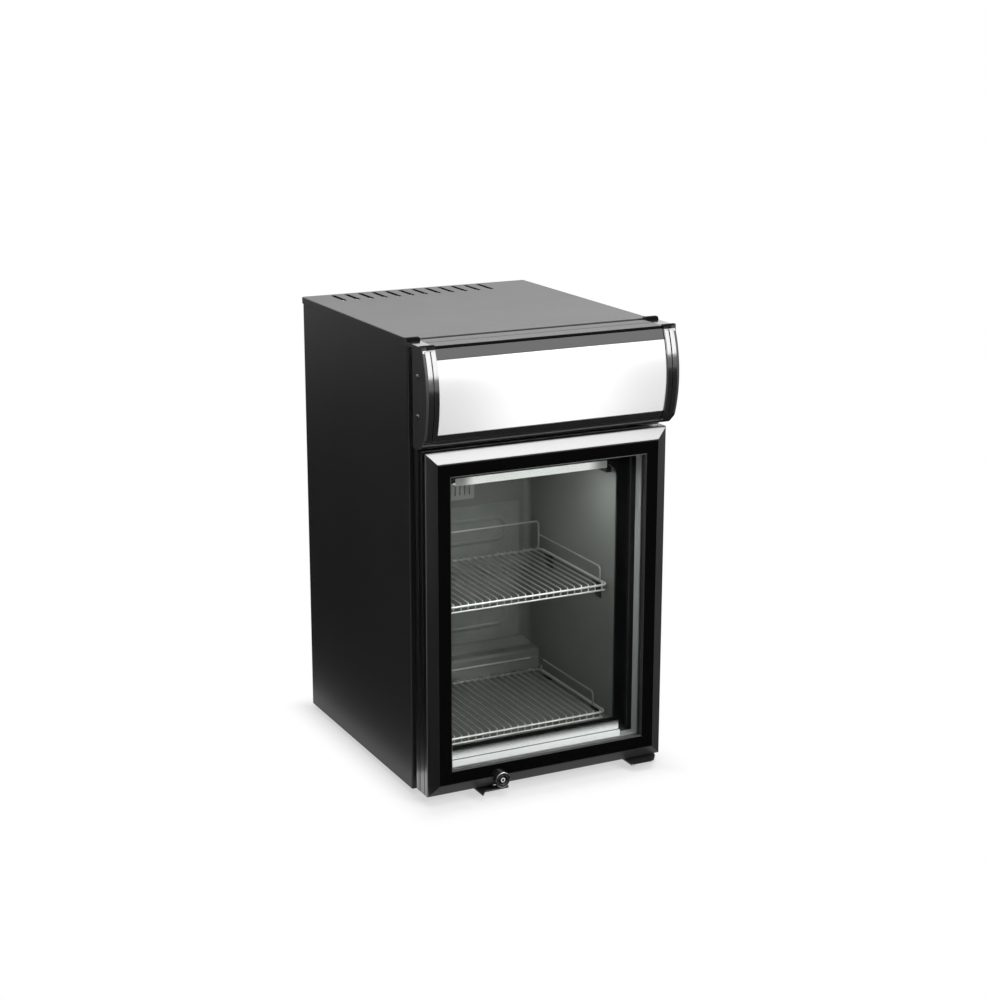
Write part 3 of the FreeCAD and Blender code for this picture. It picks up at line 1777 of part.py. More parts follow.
def louvre_places():
    places = []
    for field in (louvre_field_low, cabinet_height - louvre_field_drop):
        for row in range(louvre_rows):
            for column in range(louvre_columns):
                x = (column - (louvre_columns - 1) / 2) * louvre_pitch_x
                places.append((x, under + field + row * louvre_pitch_z))
    return places


def rear_cover():
    """The rear sheet with two fields of pressed louvres that open downwards."""
    wide = half - cover_margin
    sheet_shape = along_y(rectangle((-wide, wide), (cover_low, cover_high), lid_corner), cover_y)
    slots = []
    hoods = []
    for x, z in louvre_places():
        across = (x - louvre_length / 2, x + louvre_length / 2)
        slots.append(block(across, (rear - overrun, rear + overrun), (z, z + louvre_height - louvre_wall)))
        outer = [
            (cover_y[1], z + louvre_height + louvre_wall),
            (cover_y[1], z + louvre_height),
            (cover_y[1] + louvre_depth - cover_thickness - louvre_wall, z),
            (cover_y[1] + louvre_depth - cover_thickness, z),
        ]
        hoods.append(along_x(outer, across))
    return merged([sheet_shape.cut(slots + [gland_hole(), switch_hole()])] + hoods)


def rear_screw_places():
    x = half - rear_flange / 2 - cover_margin / 4
    heights = [cover_low + (cover_high - cover_low) * share for share in rear_screw_shares]
    return [at(side * x, cover_y[1], z) for side in (-1, 1) for z in heights]


def screws():
    """Every pan-head screw: rear cover, hinge brackets, strike plate and canopy end caps."""
    heads = [screw(place, Y) for place in rear_screw_places()]
    heads += [screw(place, Y * -1) for place in hinge_screw_places() + strike_screw_places()]
    sides = [screw(place, X * -1) for place in cap_screw_places()]
    return Part.makeCompound(heads + sides + [mirrored(side) for side in sides])


def gland_hole():
    deep = overrun * 2 + cover_thickness
    return stud(at(gland_x, rear - overrun, gland_height), Y, gland_diameter, deep, gland_sides)


def cable_gland():
    """The gland where the supply cable enters, a stepped collar with a bore."""
    start = rear - gland_length
    face = gland_length + cover_thickness
    steps = [
        (0, gland_diameter - fit_gap),
        (face, gland_diameter - fit_gap),
        (face, gland_collar),
        (face + gland_rim, gland_collar),
        (face + gland_rim, gland_diameter - gland_rim),
        (face + 2 * gland_rim, gland_diameter - 2 * gland_rim),
    ]
    deep = face + 2 * gland_rim + 2 * overrun
    bore = stud(at(gland_x, start - overrun, gland_height), Y, gland_bore, deep, gland_sides)
    return turned(at(gland_x, start, gland_height), Y, steps, gland_sides).cut(bore)


def switch_hole():
    w = switch_width / 2 + fit_gap
    h = switch_height / 2 + fit_gap
    across = (switch_x - w, switch_x + w)
    return block(across, (rear - overrun, rear + overrun), (switch_z - h, switch_z + h))


def light_switch():
    """The snap-in housing of the light switch, open at the rear for the rocker."""
    w = switch_width / 2
    h = switch_height / 2
    face = cover_y[1]
    across = (switch_x - w, switch_x + w)
    body = block(across, (face - switch_body_depth, face), (switch_z - h, switch_z + h))
    wide = w + switch_flange
    tall = h + switch_flange
    plate = rectangle((switch_x - wide, switch_x + wide), (switch_z - tall, switch_z + tall), switch_flange)
    flange = along_y(clipped(plate), (face, face + cover_thickness))
    t = switch_wall
    room = block(
        (switch_x - w + t, switch_x + w - t),
        (face - switch_body_depth + t, face + overrun),
        (switch_z - h + t, switch_z + h - t),
    )
    bore = rod(at(switch_x - wide, rocker_axis_y, switch_z), X, pivot_diameter + 2 * pivot_play, 2 * wide)
    return merged([body, flange]).cut([room, bore])


def light_rocker():
    """The rocker key, dished in the middle and tilted to one side at rest."""
    w = switch_width / 2 - switch_wall - rocker_play
    deep = rocker_axis_y + rocker_reach - rocker_thickness
    face = rocker_axis_y + rocker_reach
    corners = [
        (deep, switch_z - rocker_half_height),
        (face, switch_z - rocker_half_height),
        (face - rocker_dish, switch_z),
        (face, switch_z + rocker_half_height),
        (deep, switch_z + rocker_half_height),
        (rocker_axis_y - rocker_dish, switch_z),
    ]
    key = along_x(corners, (switch_x - w, switch_x + w))
    key.rotate(at(0, rocker_axis_y, switch_z), X, -rocker_tilt)
    reach = switch_width / 2 - switch_wall / 2
    return merged([key, rod(at(switch_x - reach, rocker_axis_y, switch_z), X, pivot_diameter, 2 * reach)])


def driver_box():
    """The lamp driver on the deck above the insulation."""
    left = -half + driver_from_left
    low = foam_top + sheet
    along = (driver_from_front, driver_from_front + driver_depth)
    body = block((left, left + driver_width), along, (low, low + driver_height))
    flange = block((left - driver_flange, left + driver_width + driver_flange), along, (low, low + sheet))
    return merged([body, flange])


def save(name, shape):
    """Write one piece with the origin at the centre of the footprint."""
    moved = shape.copy()
    moved.translate(Y * front_plane)
    moved.exportStep("parts/" + name + ".step")
    return moved


def build():
    upper = cave_floor + upper_shelf_level
    lower = cave_floor + lower_shelf_level
    left_side = side_panel()
    left_cap = end_cap()
    return {
        "side_panel_left": left_side,
        "side_panel_right": mirrored(left_side),
        "top_lid": top_lid(),
        "base_plate": base_plate(),
        "header_panel": header_panel(),
        "mouth_frame": mouth_frame(),
        "liner": liner(),
        "insulation_foam": insulation_foam(),
        "insulation_back": insulation_back(),
        "machine_deck": machine_deck(),
        "feet": feet(),
        "rear_cover": rear_cover(),
        "screws": screws(),
        "cable_gland": cable_gland(),
        "light_switch": light_switch(),
        "light_rocker": light_rocker(),
        "door_rail_top": door_rail_top(),
        "door_rail_bottom": door_rail_bottom(),
        "door_stile_left": door_member("left"),
        "door_stile_right": door_member("right"),
        "glass_front": pane(glass_front),
        "glass_rear": pane(glass_back),
        "glass_spacer": glass_spacer(),
        "sill_strip": sill_strip(),
        "glazing_bead": glazing_bead(),
        "door_gasket": door_gasket(),
        "hinge_bushes": hinge_bushes(),
        "lock_housing": lock_housing(),
        "lock_barrel": lock_barrel(),
        "hinge_bracket_bottom": hinge_bracket_bottom(),
        "hinge_bracket_top": hinge_bracket_top(),
        "hinge_pins": hinge_pins(),
        "strike_plate": strike_plate(),
        "end_cap_left": left_cap,
        "end_cap_right": mirrored(left_cap),
        "canopy_tray": canopy_tray(),
        "sign_panel": sign_panel(),
        "top_strip": top_strip(),
        "lower_strip": lower_strip(),
        "canopy_lamp": canopy_lamp(),
        "canopy_lamp_holders": canopy_lamp_holders(),
        "reflector": reflector(),
        "upper_shelf": shelf_grid(upper),
        "upper_shelf_rail": upper_shelf_rail(),
        "lower_shelf": shelf_grid(lower),
        "lower_shelf_rail": lower_shelf_rail(),
        "shelf_brackets": shelf_brackets(),
        "evaporator_plate": evaporator_plate(),
        "thermostat_box": thermostat_box(),
        "thermostat_knob": thermostat_knob(),
        "lamp_cover": lamp_cover(),
        "lamp_ends": lamp_ends(),
        "lamp_board": lamp_board(),
        "compressor": compressor(),
        "grommets": grommets(),
        "compressor_rail": compressor_rail(),
        "relay_box": relay_box(),
        "condenser": condenser(),
        "refrigerant_lines": refrigerant_lines(),
        "driver_box": driver_box(),
    }


nodes = build()
for name, shape in nodes.items():
    save(name, shape)
    print(name, "solids", len(shape.Solids), "valid", shape.isValid(), "volume", round(shape.Volume))
print(len(nodes), "nodes")
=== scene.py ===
import json
from math import asin, atan2, cos, pi, radians, sin, sqrt, tan, tau
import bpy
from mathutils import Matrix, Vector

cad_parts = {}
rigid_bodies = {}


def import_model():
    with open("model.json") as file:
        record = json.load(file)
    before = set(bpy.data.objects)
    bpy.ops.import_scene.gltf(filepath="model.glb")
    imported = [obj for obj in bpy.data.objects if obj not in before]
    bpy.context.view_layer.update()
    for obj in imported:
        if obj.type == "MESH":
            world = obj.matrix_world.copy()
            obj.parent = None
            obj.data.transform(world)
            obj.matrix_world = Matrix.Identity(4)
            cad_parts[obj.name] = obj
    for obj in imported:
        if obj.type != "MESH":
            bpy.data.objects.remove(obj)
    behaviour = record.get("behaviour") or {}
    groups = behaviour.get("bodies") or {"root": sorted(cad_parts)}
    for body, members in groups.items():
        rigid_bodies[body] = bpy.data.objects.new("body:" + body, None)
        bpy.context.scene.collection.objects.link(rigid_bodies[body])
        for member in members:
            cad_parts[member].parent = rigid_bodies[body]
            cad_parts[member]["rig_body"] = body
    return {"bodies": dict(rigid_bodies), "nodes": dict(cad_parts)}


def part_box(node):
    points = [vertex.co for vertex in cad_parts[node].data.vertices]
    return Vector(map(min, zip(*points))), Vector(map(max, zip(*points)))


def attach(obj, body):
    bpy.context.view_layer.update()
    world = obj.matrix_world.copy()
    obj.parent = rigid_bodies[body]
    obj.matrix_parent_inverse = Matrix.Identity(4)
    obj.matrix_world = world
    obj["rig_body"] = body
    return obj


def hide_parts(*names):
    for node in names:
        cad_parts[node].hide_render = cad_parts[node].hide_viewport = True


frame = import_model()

from types import SimpleNamespace

import bmesh
import bpy
from mathutils import Matrix, Vector

nodes = frame["nodes"]
kept = set(nodes.values()) | set(frame["bodies"].values())
for spare in [item for item in bpy.data.objects if item not in kept]:
    bpy.data.objects.remove(spare)
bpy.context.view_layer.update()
print("frame loaded:", len(nodes), "nodes")

mm = 0.001
mergeGap = 0.002 * mm
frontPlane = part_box("side_panel_left")[0].y
axes = xAxis, yAxis, zAxis = Vector((1, 0, 0)), Vector((0, 1, 0)), Vector((0, 0, 1))
slotOf = {name: item.data.materials[0].name for name, item in nodes.items()}


# Shapes. Sizes are in millimetres: x from the middle, y from the cabinet's front plane, z from the worktop.

def place(x, y, z):
    return Vector((x * mm, y * mm + frontPlane, z * mm))


def measured(spot):
    # the reverse of place
    return Vector((spot.x, spot.y - frontPlane, spot.z)) / mm


def named(values):
    # lets a dictionary be read as use.name
    return SimpleNamespace(**values)


def partsOf(found, kind="BMVert", key="geom"):
    return [item for item in found[key] if isinstance(item, getattr(bmesh.types, kind))]


def meshOf(name, bm):
    mesh = bpy.data.meshes.new(name)
    bm.to_mesh(mesh)
    bm.free()
    return mesh


def objectOf(name, data):
    made = bpy.data.objects.new(name, data)
    bpy.context.scene.collection.objects.link(made)
    return made


def tidied(bm):
    bmesh.ops.remove_doubles(bm, verts=bm.verts, dist=mergeGap)
    bmesh.ops.recalc_face_normals(bm, faces=bm.faces)
    return bm


def joined(parts):
    whole = parts[0]
    for part in parts[1:]:
        holder = meshOf("holder", part)
        whole.from_mesh(holder)
        bpy.data.meshes.remove(holder)
    return whole


def softened(bm, width, steps=2, angle=35, test=None):
    sharp = [edge for edge in bm.edges if edge.is_manifold and edge.calc_face_angle(0) > radians(angle)]
    if test:
        sharp = [edge for edge in sharp if test(measured((edge.verts[0].co + edge.verts[1].co) / 2))]
    bmesh.ops.bevel(bm, geom=sharp, offset=width * mm, affect="EDGES", segments=steps, profile=0.5, material=-1,
                    clamp_overlap=True)
    return bm


def roundCorners(bm, rounds, steps):
    for vert, size in rounds:
        bmesh.ops.bevel(bm, geom=[vert], offset=size * mm, affect="VERTICES", segments=steps, profile=0.5,
                        material=-1)


def pushed(bm, axis, length):
    grown = bmesh.ops.extrude_face_region(bm, geom=list(bm.faces))
    bmesh.ops.translate(bm, vec=axis * (length * mm), verts=partsOf(grown))
    return tidied(bm)


def slab(corners, axis, low, high, steps=5):
    # corners are (a, b) or (a, b, rounding), drawn across the axis and pushed along it
    bm = bmesh.new()
    along = "xyz".index(axis)
    verts = [bm.verts.new(place(*corner[:along], low, *corner[along:2])) for corner in corners]
    bm.faces.new(verts)
    roundCorners(bm, [(vert, corner[2]) for vert, corner in zip(verts, corners) if corner[2:] > (0,)], steps)
    return pushed(bm, axes[along], high - low)


def block(x, y, z):
    bm = bmesh.new()
    bmesh.ops.create_cube(bm, size=1)
    low, high = place(x[0], y[0], z[0]), place(x[1], y[1], z[1])
    bmesh.ops.scale(bm, vec=high - low, verts=bm.verts)
    bmesh.ops.translate(bm, vec=(low + high) / 2, verts=bm.verts)
    return bm


def box(low, high, rounding):
    return [(*corner, rounding) for corner in (low, (high[0], low[1]), high, (low[0], high[1]))]


def turned(profile, centre, axis, steps):
    # profile is (distance along the axis, radius)
    bm = bmesh.new()
    side = axis.orthogonal().normalized()
    chain = [bm.verts.new(centre + axis * (along * mm) + side * (radius * mm)) for along, radius in profile]
    lines = [bm.edges.new(pair) for pair in zip(chain, chain[1:])]
    bmesh.ops.spin(bm, geom=chain + lines, cent=centre, axis=axis, angle=tau, steps=steps, use_merge=True)
    return tidied(bm)


def bentWire(points, size, bend, sides, steps, closed=False):
    # straight runs with a turned bend at each corner
    bm = bmesh.new()
    here = points[0]
    runs = [(b - a).normalized() for a, b in zip(points, points[1:])]
    facing = Matrix.Translation(here) @ runs[0].to_track_quat("Z", "X").to_matrix().to_4x4()
    circle = bmesh.ops.create_circle(bm, radius=size / 2 * mm, segments=sides, matrix=facing)
    ring = list(dict.fromkeys(edge for vert in circle["verts"] for edge in vert.link_edges))
    if not closed:
        bmesh.ops.edgeloop_fill(bm, edges=ring)
    for i, run in enumerate(runs):
        after = runs[i + 1] if i + 1 < len(runs) else run
        turn = after.angle(run)
        reach = bend * mm * tan(turn / 2)
        stop = points[i + 1] - run * reach
        if (stop - here).length > 1e-7:
            grown = bmesh.ops.extrude_edge_only(bm, edges=ring)
            fresh = set(partsOf(grown))
            bmesh.ops.translate(bm, vec=stop - here, verts=list(fresh))
            ring = [edge for edge in partsOf(grown, "BMEdge") if fresh.issuperset(edge.verts)]
        if after != run:
            inward = (after - run * after.dot(run)).normalized()
            spun = bmesh.ops.spin(bm, geom=ring, cent=stop + inward * (bend * mm), axis=run.cross(after).normalized(),
                                  angle=turn, steps=steps)
            ring = partsOf(spun, "BMEdge", "geom_last")
            here = points[i + 1] + after * reach
    if not closed:
        bmesh.ops.edgeloop_fill(bm, edges=ring)
    return tidied(bm)


def rowOf(bm, pitch, count):
    # copies of a shape along x, the first where it is
    original = bm.verts[:] + bm.edges[:] + bm.faces[:]
    for i in range(1, count):
        made = bmesh.ops.duplicate(bm, geom=original)
        bmesh.ops.translate(bm, vec=xAxis * (i * pitch * mm), verts=partsOf(made))
    return bm


def scaledAbout(bm, centre, factors):
    # flattens a shape, or turns it over where a factor is negative
    bmesh.ops.translate(bm, vec=-centre, verts=bm.verts)
    bmesh.ops.scale(bm, vec=factors, verts=bm.verts)
    bmesh.ops.translate(bm, vec=centre, verts=bm.verts)
    bmesh.ops.recalc_face_normals(bm, faces=bm.faces)
    return bm


def carved(bm, cutter, way="DIFFERENCE"):
    pair = [objectOf("holder", meshOf("holder", shape)) for shape in (bm, cutter)]
    tool = pair[0].modifiers.new("cut", "BOOLEAN")
    tool.operation, tool.solver, tool.use_self, tool.object = way, "EXACT", True, pair[1]
    graph = bpy.context.evaluated_depsgraph_get()
    result = bmesh.new()
    result.from_mesh(pair[0].evaluated_get(graph).to_mesh())
    for item in pair:
        bpy.data.meshes.remove(item.data)
    return tidied(result)


def islandsOf(node):
    # the lowest and highest corner of each separate solid of a node
    bm = bmesh.new()
    bm.from_mesh(nodes[node].data)
    bmesh.ops.remove_doubles(bm, verts=bm.verts, dist=0.01 * mm)
    left = set(bm.verts)
    found = []
    while left:
        group = {left.pop()}
        edge = list(group)
        while edge:
            near = {other for vert in edge for line in vert.link_edges for other in line.verts} - group
            group |= near
            edge = list(near)
        left -= group
        columns = list(zip(*(vert.co for vert in group)))
        found.append((Vector(map(min, columns)), Vector(map(max, columns))))
    bm.free()
    return sorted(found, key=lambda pair: [round(value, 5) for value in pair[0]])


def addPiece(name, bm, node=None, looks=None, pick=None, smooth=35):
    # takes its body from the node that it replaces, and its finish too where no looks are given
    # pick chooses one of the looks by a face's middle and normal
    looks = looks or [slotOf[node]]
    if pick:
        for face in bm.faces:
            face.material_index = int(pick(measured(face.calc_center_median()), face.normal))
    mesh = meshOf(name, bm)
    for look in looks:
        mesh.materials.append(finishes[look])
    for polygon in mesh.polygons:
        polygon.use_smooth = True
    mesh.set_sharp_from_angle(angle=radians(smooth))
    piece = objectOf(name, mesh)
    piece.modifiers.new("even", "WEIGHTED_NORMAL").keep_sharp = True
    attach(piece, nodes[node]["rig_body"] if node else "cabinet")
    if node:
        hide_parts(node)


# Finishes

def feed(tree, sockets, values):
    # each value is another node's output, or a plain number or colour
    for key, value in values.items():
        if isinstance(value, bpy.types.NodeSocket):
            tree.links.new(value, sockets[key])
        else:
            sockets[key].default_value = value


def addNode(tree, kind, inputs=None, **settings):
    made = tree.nodes.new("ShaderNode" + kind)
    for key, value in settings.items():
        setattr(made, key, value)
    feed(tree, made.inputs, inputs or {})
    return made.outputs


def reckon(tree, value, *steps):
    # each step is an operation, its second value and, where the result is clamped, True
    for operation, second, *clamped in steps:
        value = addNode(tree, "Math", {0: value, 1: second}, operation=operation, use_clamp=bool(clamped))[0]
    return value


def blend(tree, share, first, second):
    return addNode(tree, "Mix", {0: share, 6: first, 7: second}, data_type="RGBA")[2]


def objectSpace(tree):
    return addNode(tree, "TexCoord")["Object"]


def noise(tree, where, scale, detail, rough):
    return addNode(tree, "TexNoise", {"Vector": where, "Scale": scale, "Detail": detail, "Roughness": rough})["Fac"]


def smoothRange(tree, value, start, stop):
    inputs = {"Value": value, "From Min": start, "From Max": stop}
    return addNode(tree, "MapRange", inputs, interpolation_type="SMOOTHSTEP")["Result"]


def newGroup(name, inputs, outputs):
    group = bpy.data.node_groups.new(name, "ShaderNodeTree")
    kindOf = lambda label: "NodeSocketColor" if label == "Colour" else "NodeSocketFloat"
    for label, value in inputs.items():
        group.interface.new_socket(label, in_out="INPUT", socket_type=kindOf(label)).default_value = value
    for label in outputs:
        group.interface.new_socket(label, in_out="OUTPUT", socket_type=kindOf(label))
    return group, group.nodes.new("NodeGroupInput").outputs, group.nodes.new("NodeGroupOutput").inputs


def buildMottle():
    # clouds of lighter and darker tone, dust on faces that look up, and a matching change of gloss
    use = named({"dustTone": (0.42, 0.41, 0.39, 1), "dustScale": 55, "dustGloss": 0.5, "dustFacing": 3})
    inputs = {"Colour": (0.5, 0.5, 0.5, 1), "Roughness": 0.4, "Amount": 0.1, "Cloud Scale": 9, "Gloss Change": 0.06,
              "Dust": 0}
    group, given, out = newGroup("mottle", inputs, ["Colour", "Roughness"])
    where = objectSpace(group)
    spread = reckon(group, noise(group, where, given["Cloud Scale"], 4.0, 0.6), ("SUBTRACT", 0.5))
    lift = reckon(group, spread, ("MULTIPLY", given["Amount"]), ("MULTIPLY", 2.0), ("ADD", 1.0))
    bright = addNode(group, "HueSaturation", {"Color": given["Colour"], "Value": lift})["Color"]
    upward = addNode(group, "SeparateXYZ", {0: addNode(group, "NewGeometry")["Normal"]})["Z"]
    specks = noise(group, where, use.dustScale, 6.0, 0.7)
    dust = reckon(group, upward, ("MAXIMUM", 0.0), ("POWER", use.dustFacing), ("MULTIPLY", specks),
                  ("MULTIPLY", given["Dust"]))
    gloss = reckon(group, spread, ("MULTIPLY", given["Gloss Change"]))
    dulled = reckon(group, dust, ("MULTIPLY", use.dustGloss))
    rough = reckon(group, given["Roughness"], ("ADD", gloss), ("ADD", dulled, True))
    feed(group, out, {"Colour": blend(group, dust, bright, use.dustTone), "Roughness": rough})
    return group


def buildGrain():
    # moulded or sprayed skin: fine pits over slow waves
    slower = 0.02
    group, given, out = newGroup("grain", {"Scale": 900, "Wave": 0.3}, ["Height"])
    where = objectSpace(group)
    fine = noise(group, where, given["Scale"], 2.0, 0.55)
    slow = noise(group, where, reckon(group, given["Scale"], ("MULTIPLY", slower)), 2.0, 0.5)
    feed(group, out, {"Height": reckon(group, slow, ("MULTIPLY", given["Wave"]), ("ADD", fine))})
    return group


def buildBrush():
    # drawn or brushed lines along x
    threshold = 0.35
    group, given, out = newGroup("brush", {"Scale": 400, "Stretch": 0.02}, ["Height", "Mask"])
    squeeze = addNode(group, "CombineXYZ", {"X": given["Stretch"], "Y": 1, "Z": 1})[0]
    drawn = addNode(group, "VectorMath", {0: objectSpace(group), 1: squeeze}, operation="MULTIPLY")[0]
    lines = noise(group, drawn, given["Scale"], 3.0, 0.6)
    feed(group, out, {"Height": lines, "Mask": reckon(group, lines, ("SUBTRACT", threshold, True))})
    return group


def buildWearAndSheen():
    # a mask along the edges, broken up by noise; it lightens the edges, partly as wear and partly as a painted sheen
    use = named({"radius": 0.9 * mm, "edgeGain": 4, "threshold": 0.42, "chipGain": 5})
    group, given, out = newGroup("edgeWearAndSheen", {"Breakup": 140, "Strength": 1}, ["Mask"])
    rounded = addNode(group, "Bevel", {"Radius": use.radius}, samples=4)[0]
    flat = addNode(group, "NewGeometry")["Normal"]
    likeness = addNode(group, "VectorMath", {0: rounded, 1: flat}, operation="DOT_PRODUCT")["Value"]
    edge = reckon(group, 1.0, ("SUBTRACT", likeness), ("MULTIPLY", use.edgeGain, True))
    edgeBreakup = noise(group, objectSpace(group), given["Breakup"], 5.0, 0.7)
    broken = reckon(group, edgeBreakup, ("SUBTRACT", use.threshold, True), ("MULTIPLY", use.chipGain, True))
    feed(group, out, {"Mask": reckon(group, edge, ("MULTIPLY", broken), ("MULTIPLY", given["Strength"], True))})
    return group


groups = {"mottle": buildMottle(), "grain": buildGrain(), "brush": buildBrush(), "wear": buildWearAndSheen()}

finishValues = {
    # colour or grey, roughness, scale and depth of the grain, mottling, and what only some finishes have
    "casing": ((0.024, 0.024, 0.0245), 0.42, 1500, 0.05, 0.12, {"specular": 0.35, "wear": 0.25}),
    # the lid's mid grey stands in for the sheen on its black paint: a painted sheen, used on faces that look up
    "lid": (0.212, 0.6, 1200, 0.08, 0.15, {"specular": 0.15, "wear": 0.2, "dust": 0.05}),
    "door_frame": (0.007, 0.3, 1300, 0.04, 0.12, {"specular": 0.9, "coat": 1, "coatRough": 0.22, "wear": 0.15}),
    "canopy_moulding": (0.016, 0.16, 1400, 0.05, 0.1, {"specular": 0.7, "coat": 1, "coatRough": 0.1, "wear": 0.3}),
    "lamp_tube": ((0.84, 0.84, 0.82), 0.3, 800, 0.02, 0.03),
    "white_plastic": ((0.74, 0.74, 0.72), 0.4, 900, 0.06, 0.05),
    "reflector": ((0.8, 0.8, 0.79), 0.45, 1100, 0.04, 0.04),
    "mouth": (0.012, 0.45, 1200, 0.08, 0.12, {"specular": 0.3, "wear": 0.2}),
    "liner": ((0.2, 0.205, 0.2), 0.38, 500, 0.08, 0.22),
    "foam": ((0.74, 0.62, 0.34), 0.85, 700, 0.5, 0.2),
    "bright_metal": ((0.78, 0.79, 0.8), 0.24, 500, 0.06, 0.05, {"metal": 1, "brushed": True}),
    "black_plastic": (0.012, 0.35, 1200, 0.08, 0.1, {"wear": 0.2}),
    "rocker": (0.02, 0.3, 1400, 0.04, 0.1),
    "seal": (0.012, 0.6, 900, 0.15, 0.2),
    "lock_case": (0.016, 0.26, 1500, 0.04, 0.1, {"wear": 0.8}),
    "plated_steel": ((0.66, 0.67, 0.68), 0.2, 2500, 0.04, 0.12, {"metal": 1}),
    "hinge_steel": (0.016, 0.34, 1300, 0.06, 0.12, {"wear": 0.9}),
    "bare_steel": (0.5, 0.34, 700, 0.08, 0.15, {"metal": 1, "brushed": True}),
    "bracket_plastic": (0.04, 0.4, 1000, 0.06, 0.08),
    "plate_aluminium": ((0.25, 0.258, 0.25), 0.4, 260, 0.12, 0.45, {"brushed": True, "cloud": 22}),
    "grey_plastic": ((0.33, 0.335, 0.33), 0.4, 1100, 0.06, 0.06),
    "machine_black": ((0.02, 0.02, 0.021), 0.36, 900, 0.1, 0.2, {"wear": 0.6, "dust": 0.3}),
    "copper": ((0.72, 0.38, 0.24), 0.32, 300, 0.1, 0.35, {"metal": 1, "brushed": True, "cloud": 30}),
    # finishes that a piece names itself, in place of its slot's
    "spacerMatte": ((0.5, 0.51, 0.51), 0.5, 1500, 0.03, 0.06, {"metal": 0.3}),
    "sillBright": ((0.93, 0.94, 0.95), 0.36, 1400, 0.03, 0.04, {"metal": 0.15}),
    "blackMatte": (0.003, 0.6, 1100, 0.06, 0.1, {"specular": 0.03}),
    "screwHead": ((0.3, 0.3, 0.31), 0.3, 2500, 0.04, 0.12, {"metal": 1, "wear": 0.5}),
    "shelfRod": ((0.55, 0.56, 0.56), 0.28, 2500, 0.03, 0.08, {"metal": 0.6}),
    # a lighter copy of the shelf plating for the frame's front and sides and the ladder: a painted highlight
    "shelfWire": ((0.88, 0.89, 0.89), 0.28, 2500, 0.03, 0.08, {"metal": 0.45}),
    "darkPlate": (0.03, 0.22, 2000, 0.04, 0.1, {"metal": 1, "wear": 0.6}),
    "stripMatte": (0.07, 0.55, 1200, 0.06, 0.06, {"specular": 0.4}),
    "bevelSatin": (0.026, 0.36, 1300, 0.04, 0.1, {"specular": 0.3}),
    "capSide": (0.04, 0.42, 1400, 0.05, 0.1, {"specular": 0.35, "wear": 0.3}),
    # a grey painted highlight along the top rail's inner chamfer
    "rimPaintedHighlight": (0.16, 0.45, 1400, 0.03, 0.08),
    # a light painted highlight on the bottom hinge bracket's front edge, for the floor it reflects
    "edgePaintedHighlight": (0.6, 0.4, 1400, 0.03, 0.08, {"wear": 0.4}),
    "doorGloss": (0.0025, 0.05, 300, 0.01, 0.1),
}
lampGlow = {
    # a skin as above, the emission's tones in the middle and at the ends, and half widths in metres
    "skin": ((0.6, 0.61, 0.6), 0.35, 600, 0.03, 0.03), "tones": [(0.86, 0.9, 0.88, 1), (1.0, 1.0, 0.98, 1)],
    "ends": (0.01, 0.01, 0.01, 1), "bright": 0.088, "dim": 0.112,
}
glowAndPaintedLightValues = {
    # the sign's lamp is off: its glow is painted light, fading to painted shade at the ends
    "sign": {"skin": ((0.74, 0.74, 0.75), 0.24, 260, 0.02, 0.02), "tones": [(1, 1, 1, 1)], "ends": (0, 0, 0, 1),
             "bright": 0.03, "dim": 0.17, "glow": 0.3},
    "diffuser": {**lampGlow, "glow": 21},
    "fascia": {**lampGlow, "glow": 0.72},
}


def newMaterial(name):
    made = bpy.data.materials.new(name + "Finish")
    made.use_nodes = True
    return made, made.node_tree, made.node_tree.nodes["Principled BSDF"]


def showMix(tree, share, first, second):
    mixed = addNode(tree, "MixShader", {0: share, 1: first, 2: second})
    feed(tree, tree.nodes["Material Output"].inputs, {"Surface": mixed[0]})


def makeFinish(name, colour, rough, grain, depth, mottle, extras={}):
    use = named({
        "bumpHigh": 0.4 * mm, "wornGain": 3, "wornLift": 0.06, "brushGloss": 0.16, "mottleGloss": 0.5, "metal": 0,
        "specular": 0.5, "brushed": False, "wear": 0, "cloud": 9, "dust": 0, "coat": 0, "coatRough": 0.05, **extras,
    })
    finish, tree, shader = newMaterial(name)
    colour = colour if isinstance(colour, tuple) else (colour,) * 3
    inputs = {"Colour": (*colour, 1), "Roughness": rough, "Amount": mottle, "Cloud Scale": use.cloud,
              "Gloss Change": mottle * use.mottleGloss, "Dust": use.dust}
    varied = addNode(tree, "Group", inputs, node_tree=groups["mottle"])
    tone, gloss = varied["Colour"], varied["Roughness"]
    # edges turn lighter along the edge mask: partly wear, partly a painted sheen
    if use.wear:
        mask = addNode(tree, "Group", {"Strength": use.wear}, node_tree=groups["wear"])["Mask"]
        wearAndSheenTone = [min(1.0, value * use.wornGain + use.wornLift) for value in colour]
        tone = blend(tree, mask, tone, (*wearAndSheenTone, 1))
    skin = addNode(tree, "Group", {"Scale": float(grain)}, node_tree=groups["brush" if use.brushed else "grain"])
    if use.brushed:
        gloss = reckon(tree, gloss, ("ADD", reckon(tree, skin["Mask"], ("MULTIPLY", use.brushGloss)), True))
    bump = addNode(tree, "Bump", {"Strength": depth, "Distance": use.bumpHigh, "Height": skin["Height"]})
    feed(tree, shader.inputs, {
        "Base Color": tone, "Roughness": gloss, "Normal": bump["Normal"], "Metallic": use.metal,
        "Specular IOR Level": use.specular, "Coat Weight": use.coat, "Coat Roughness": use.coatRough,
    })
    return finish


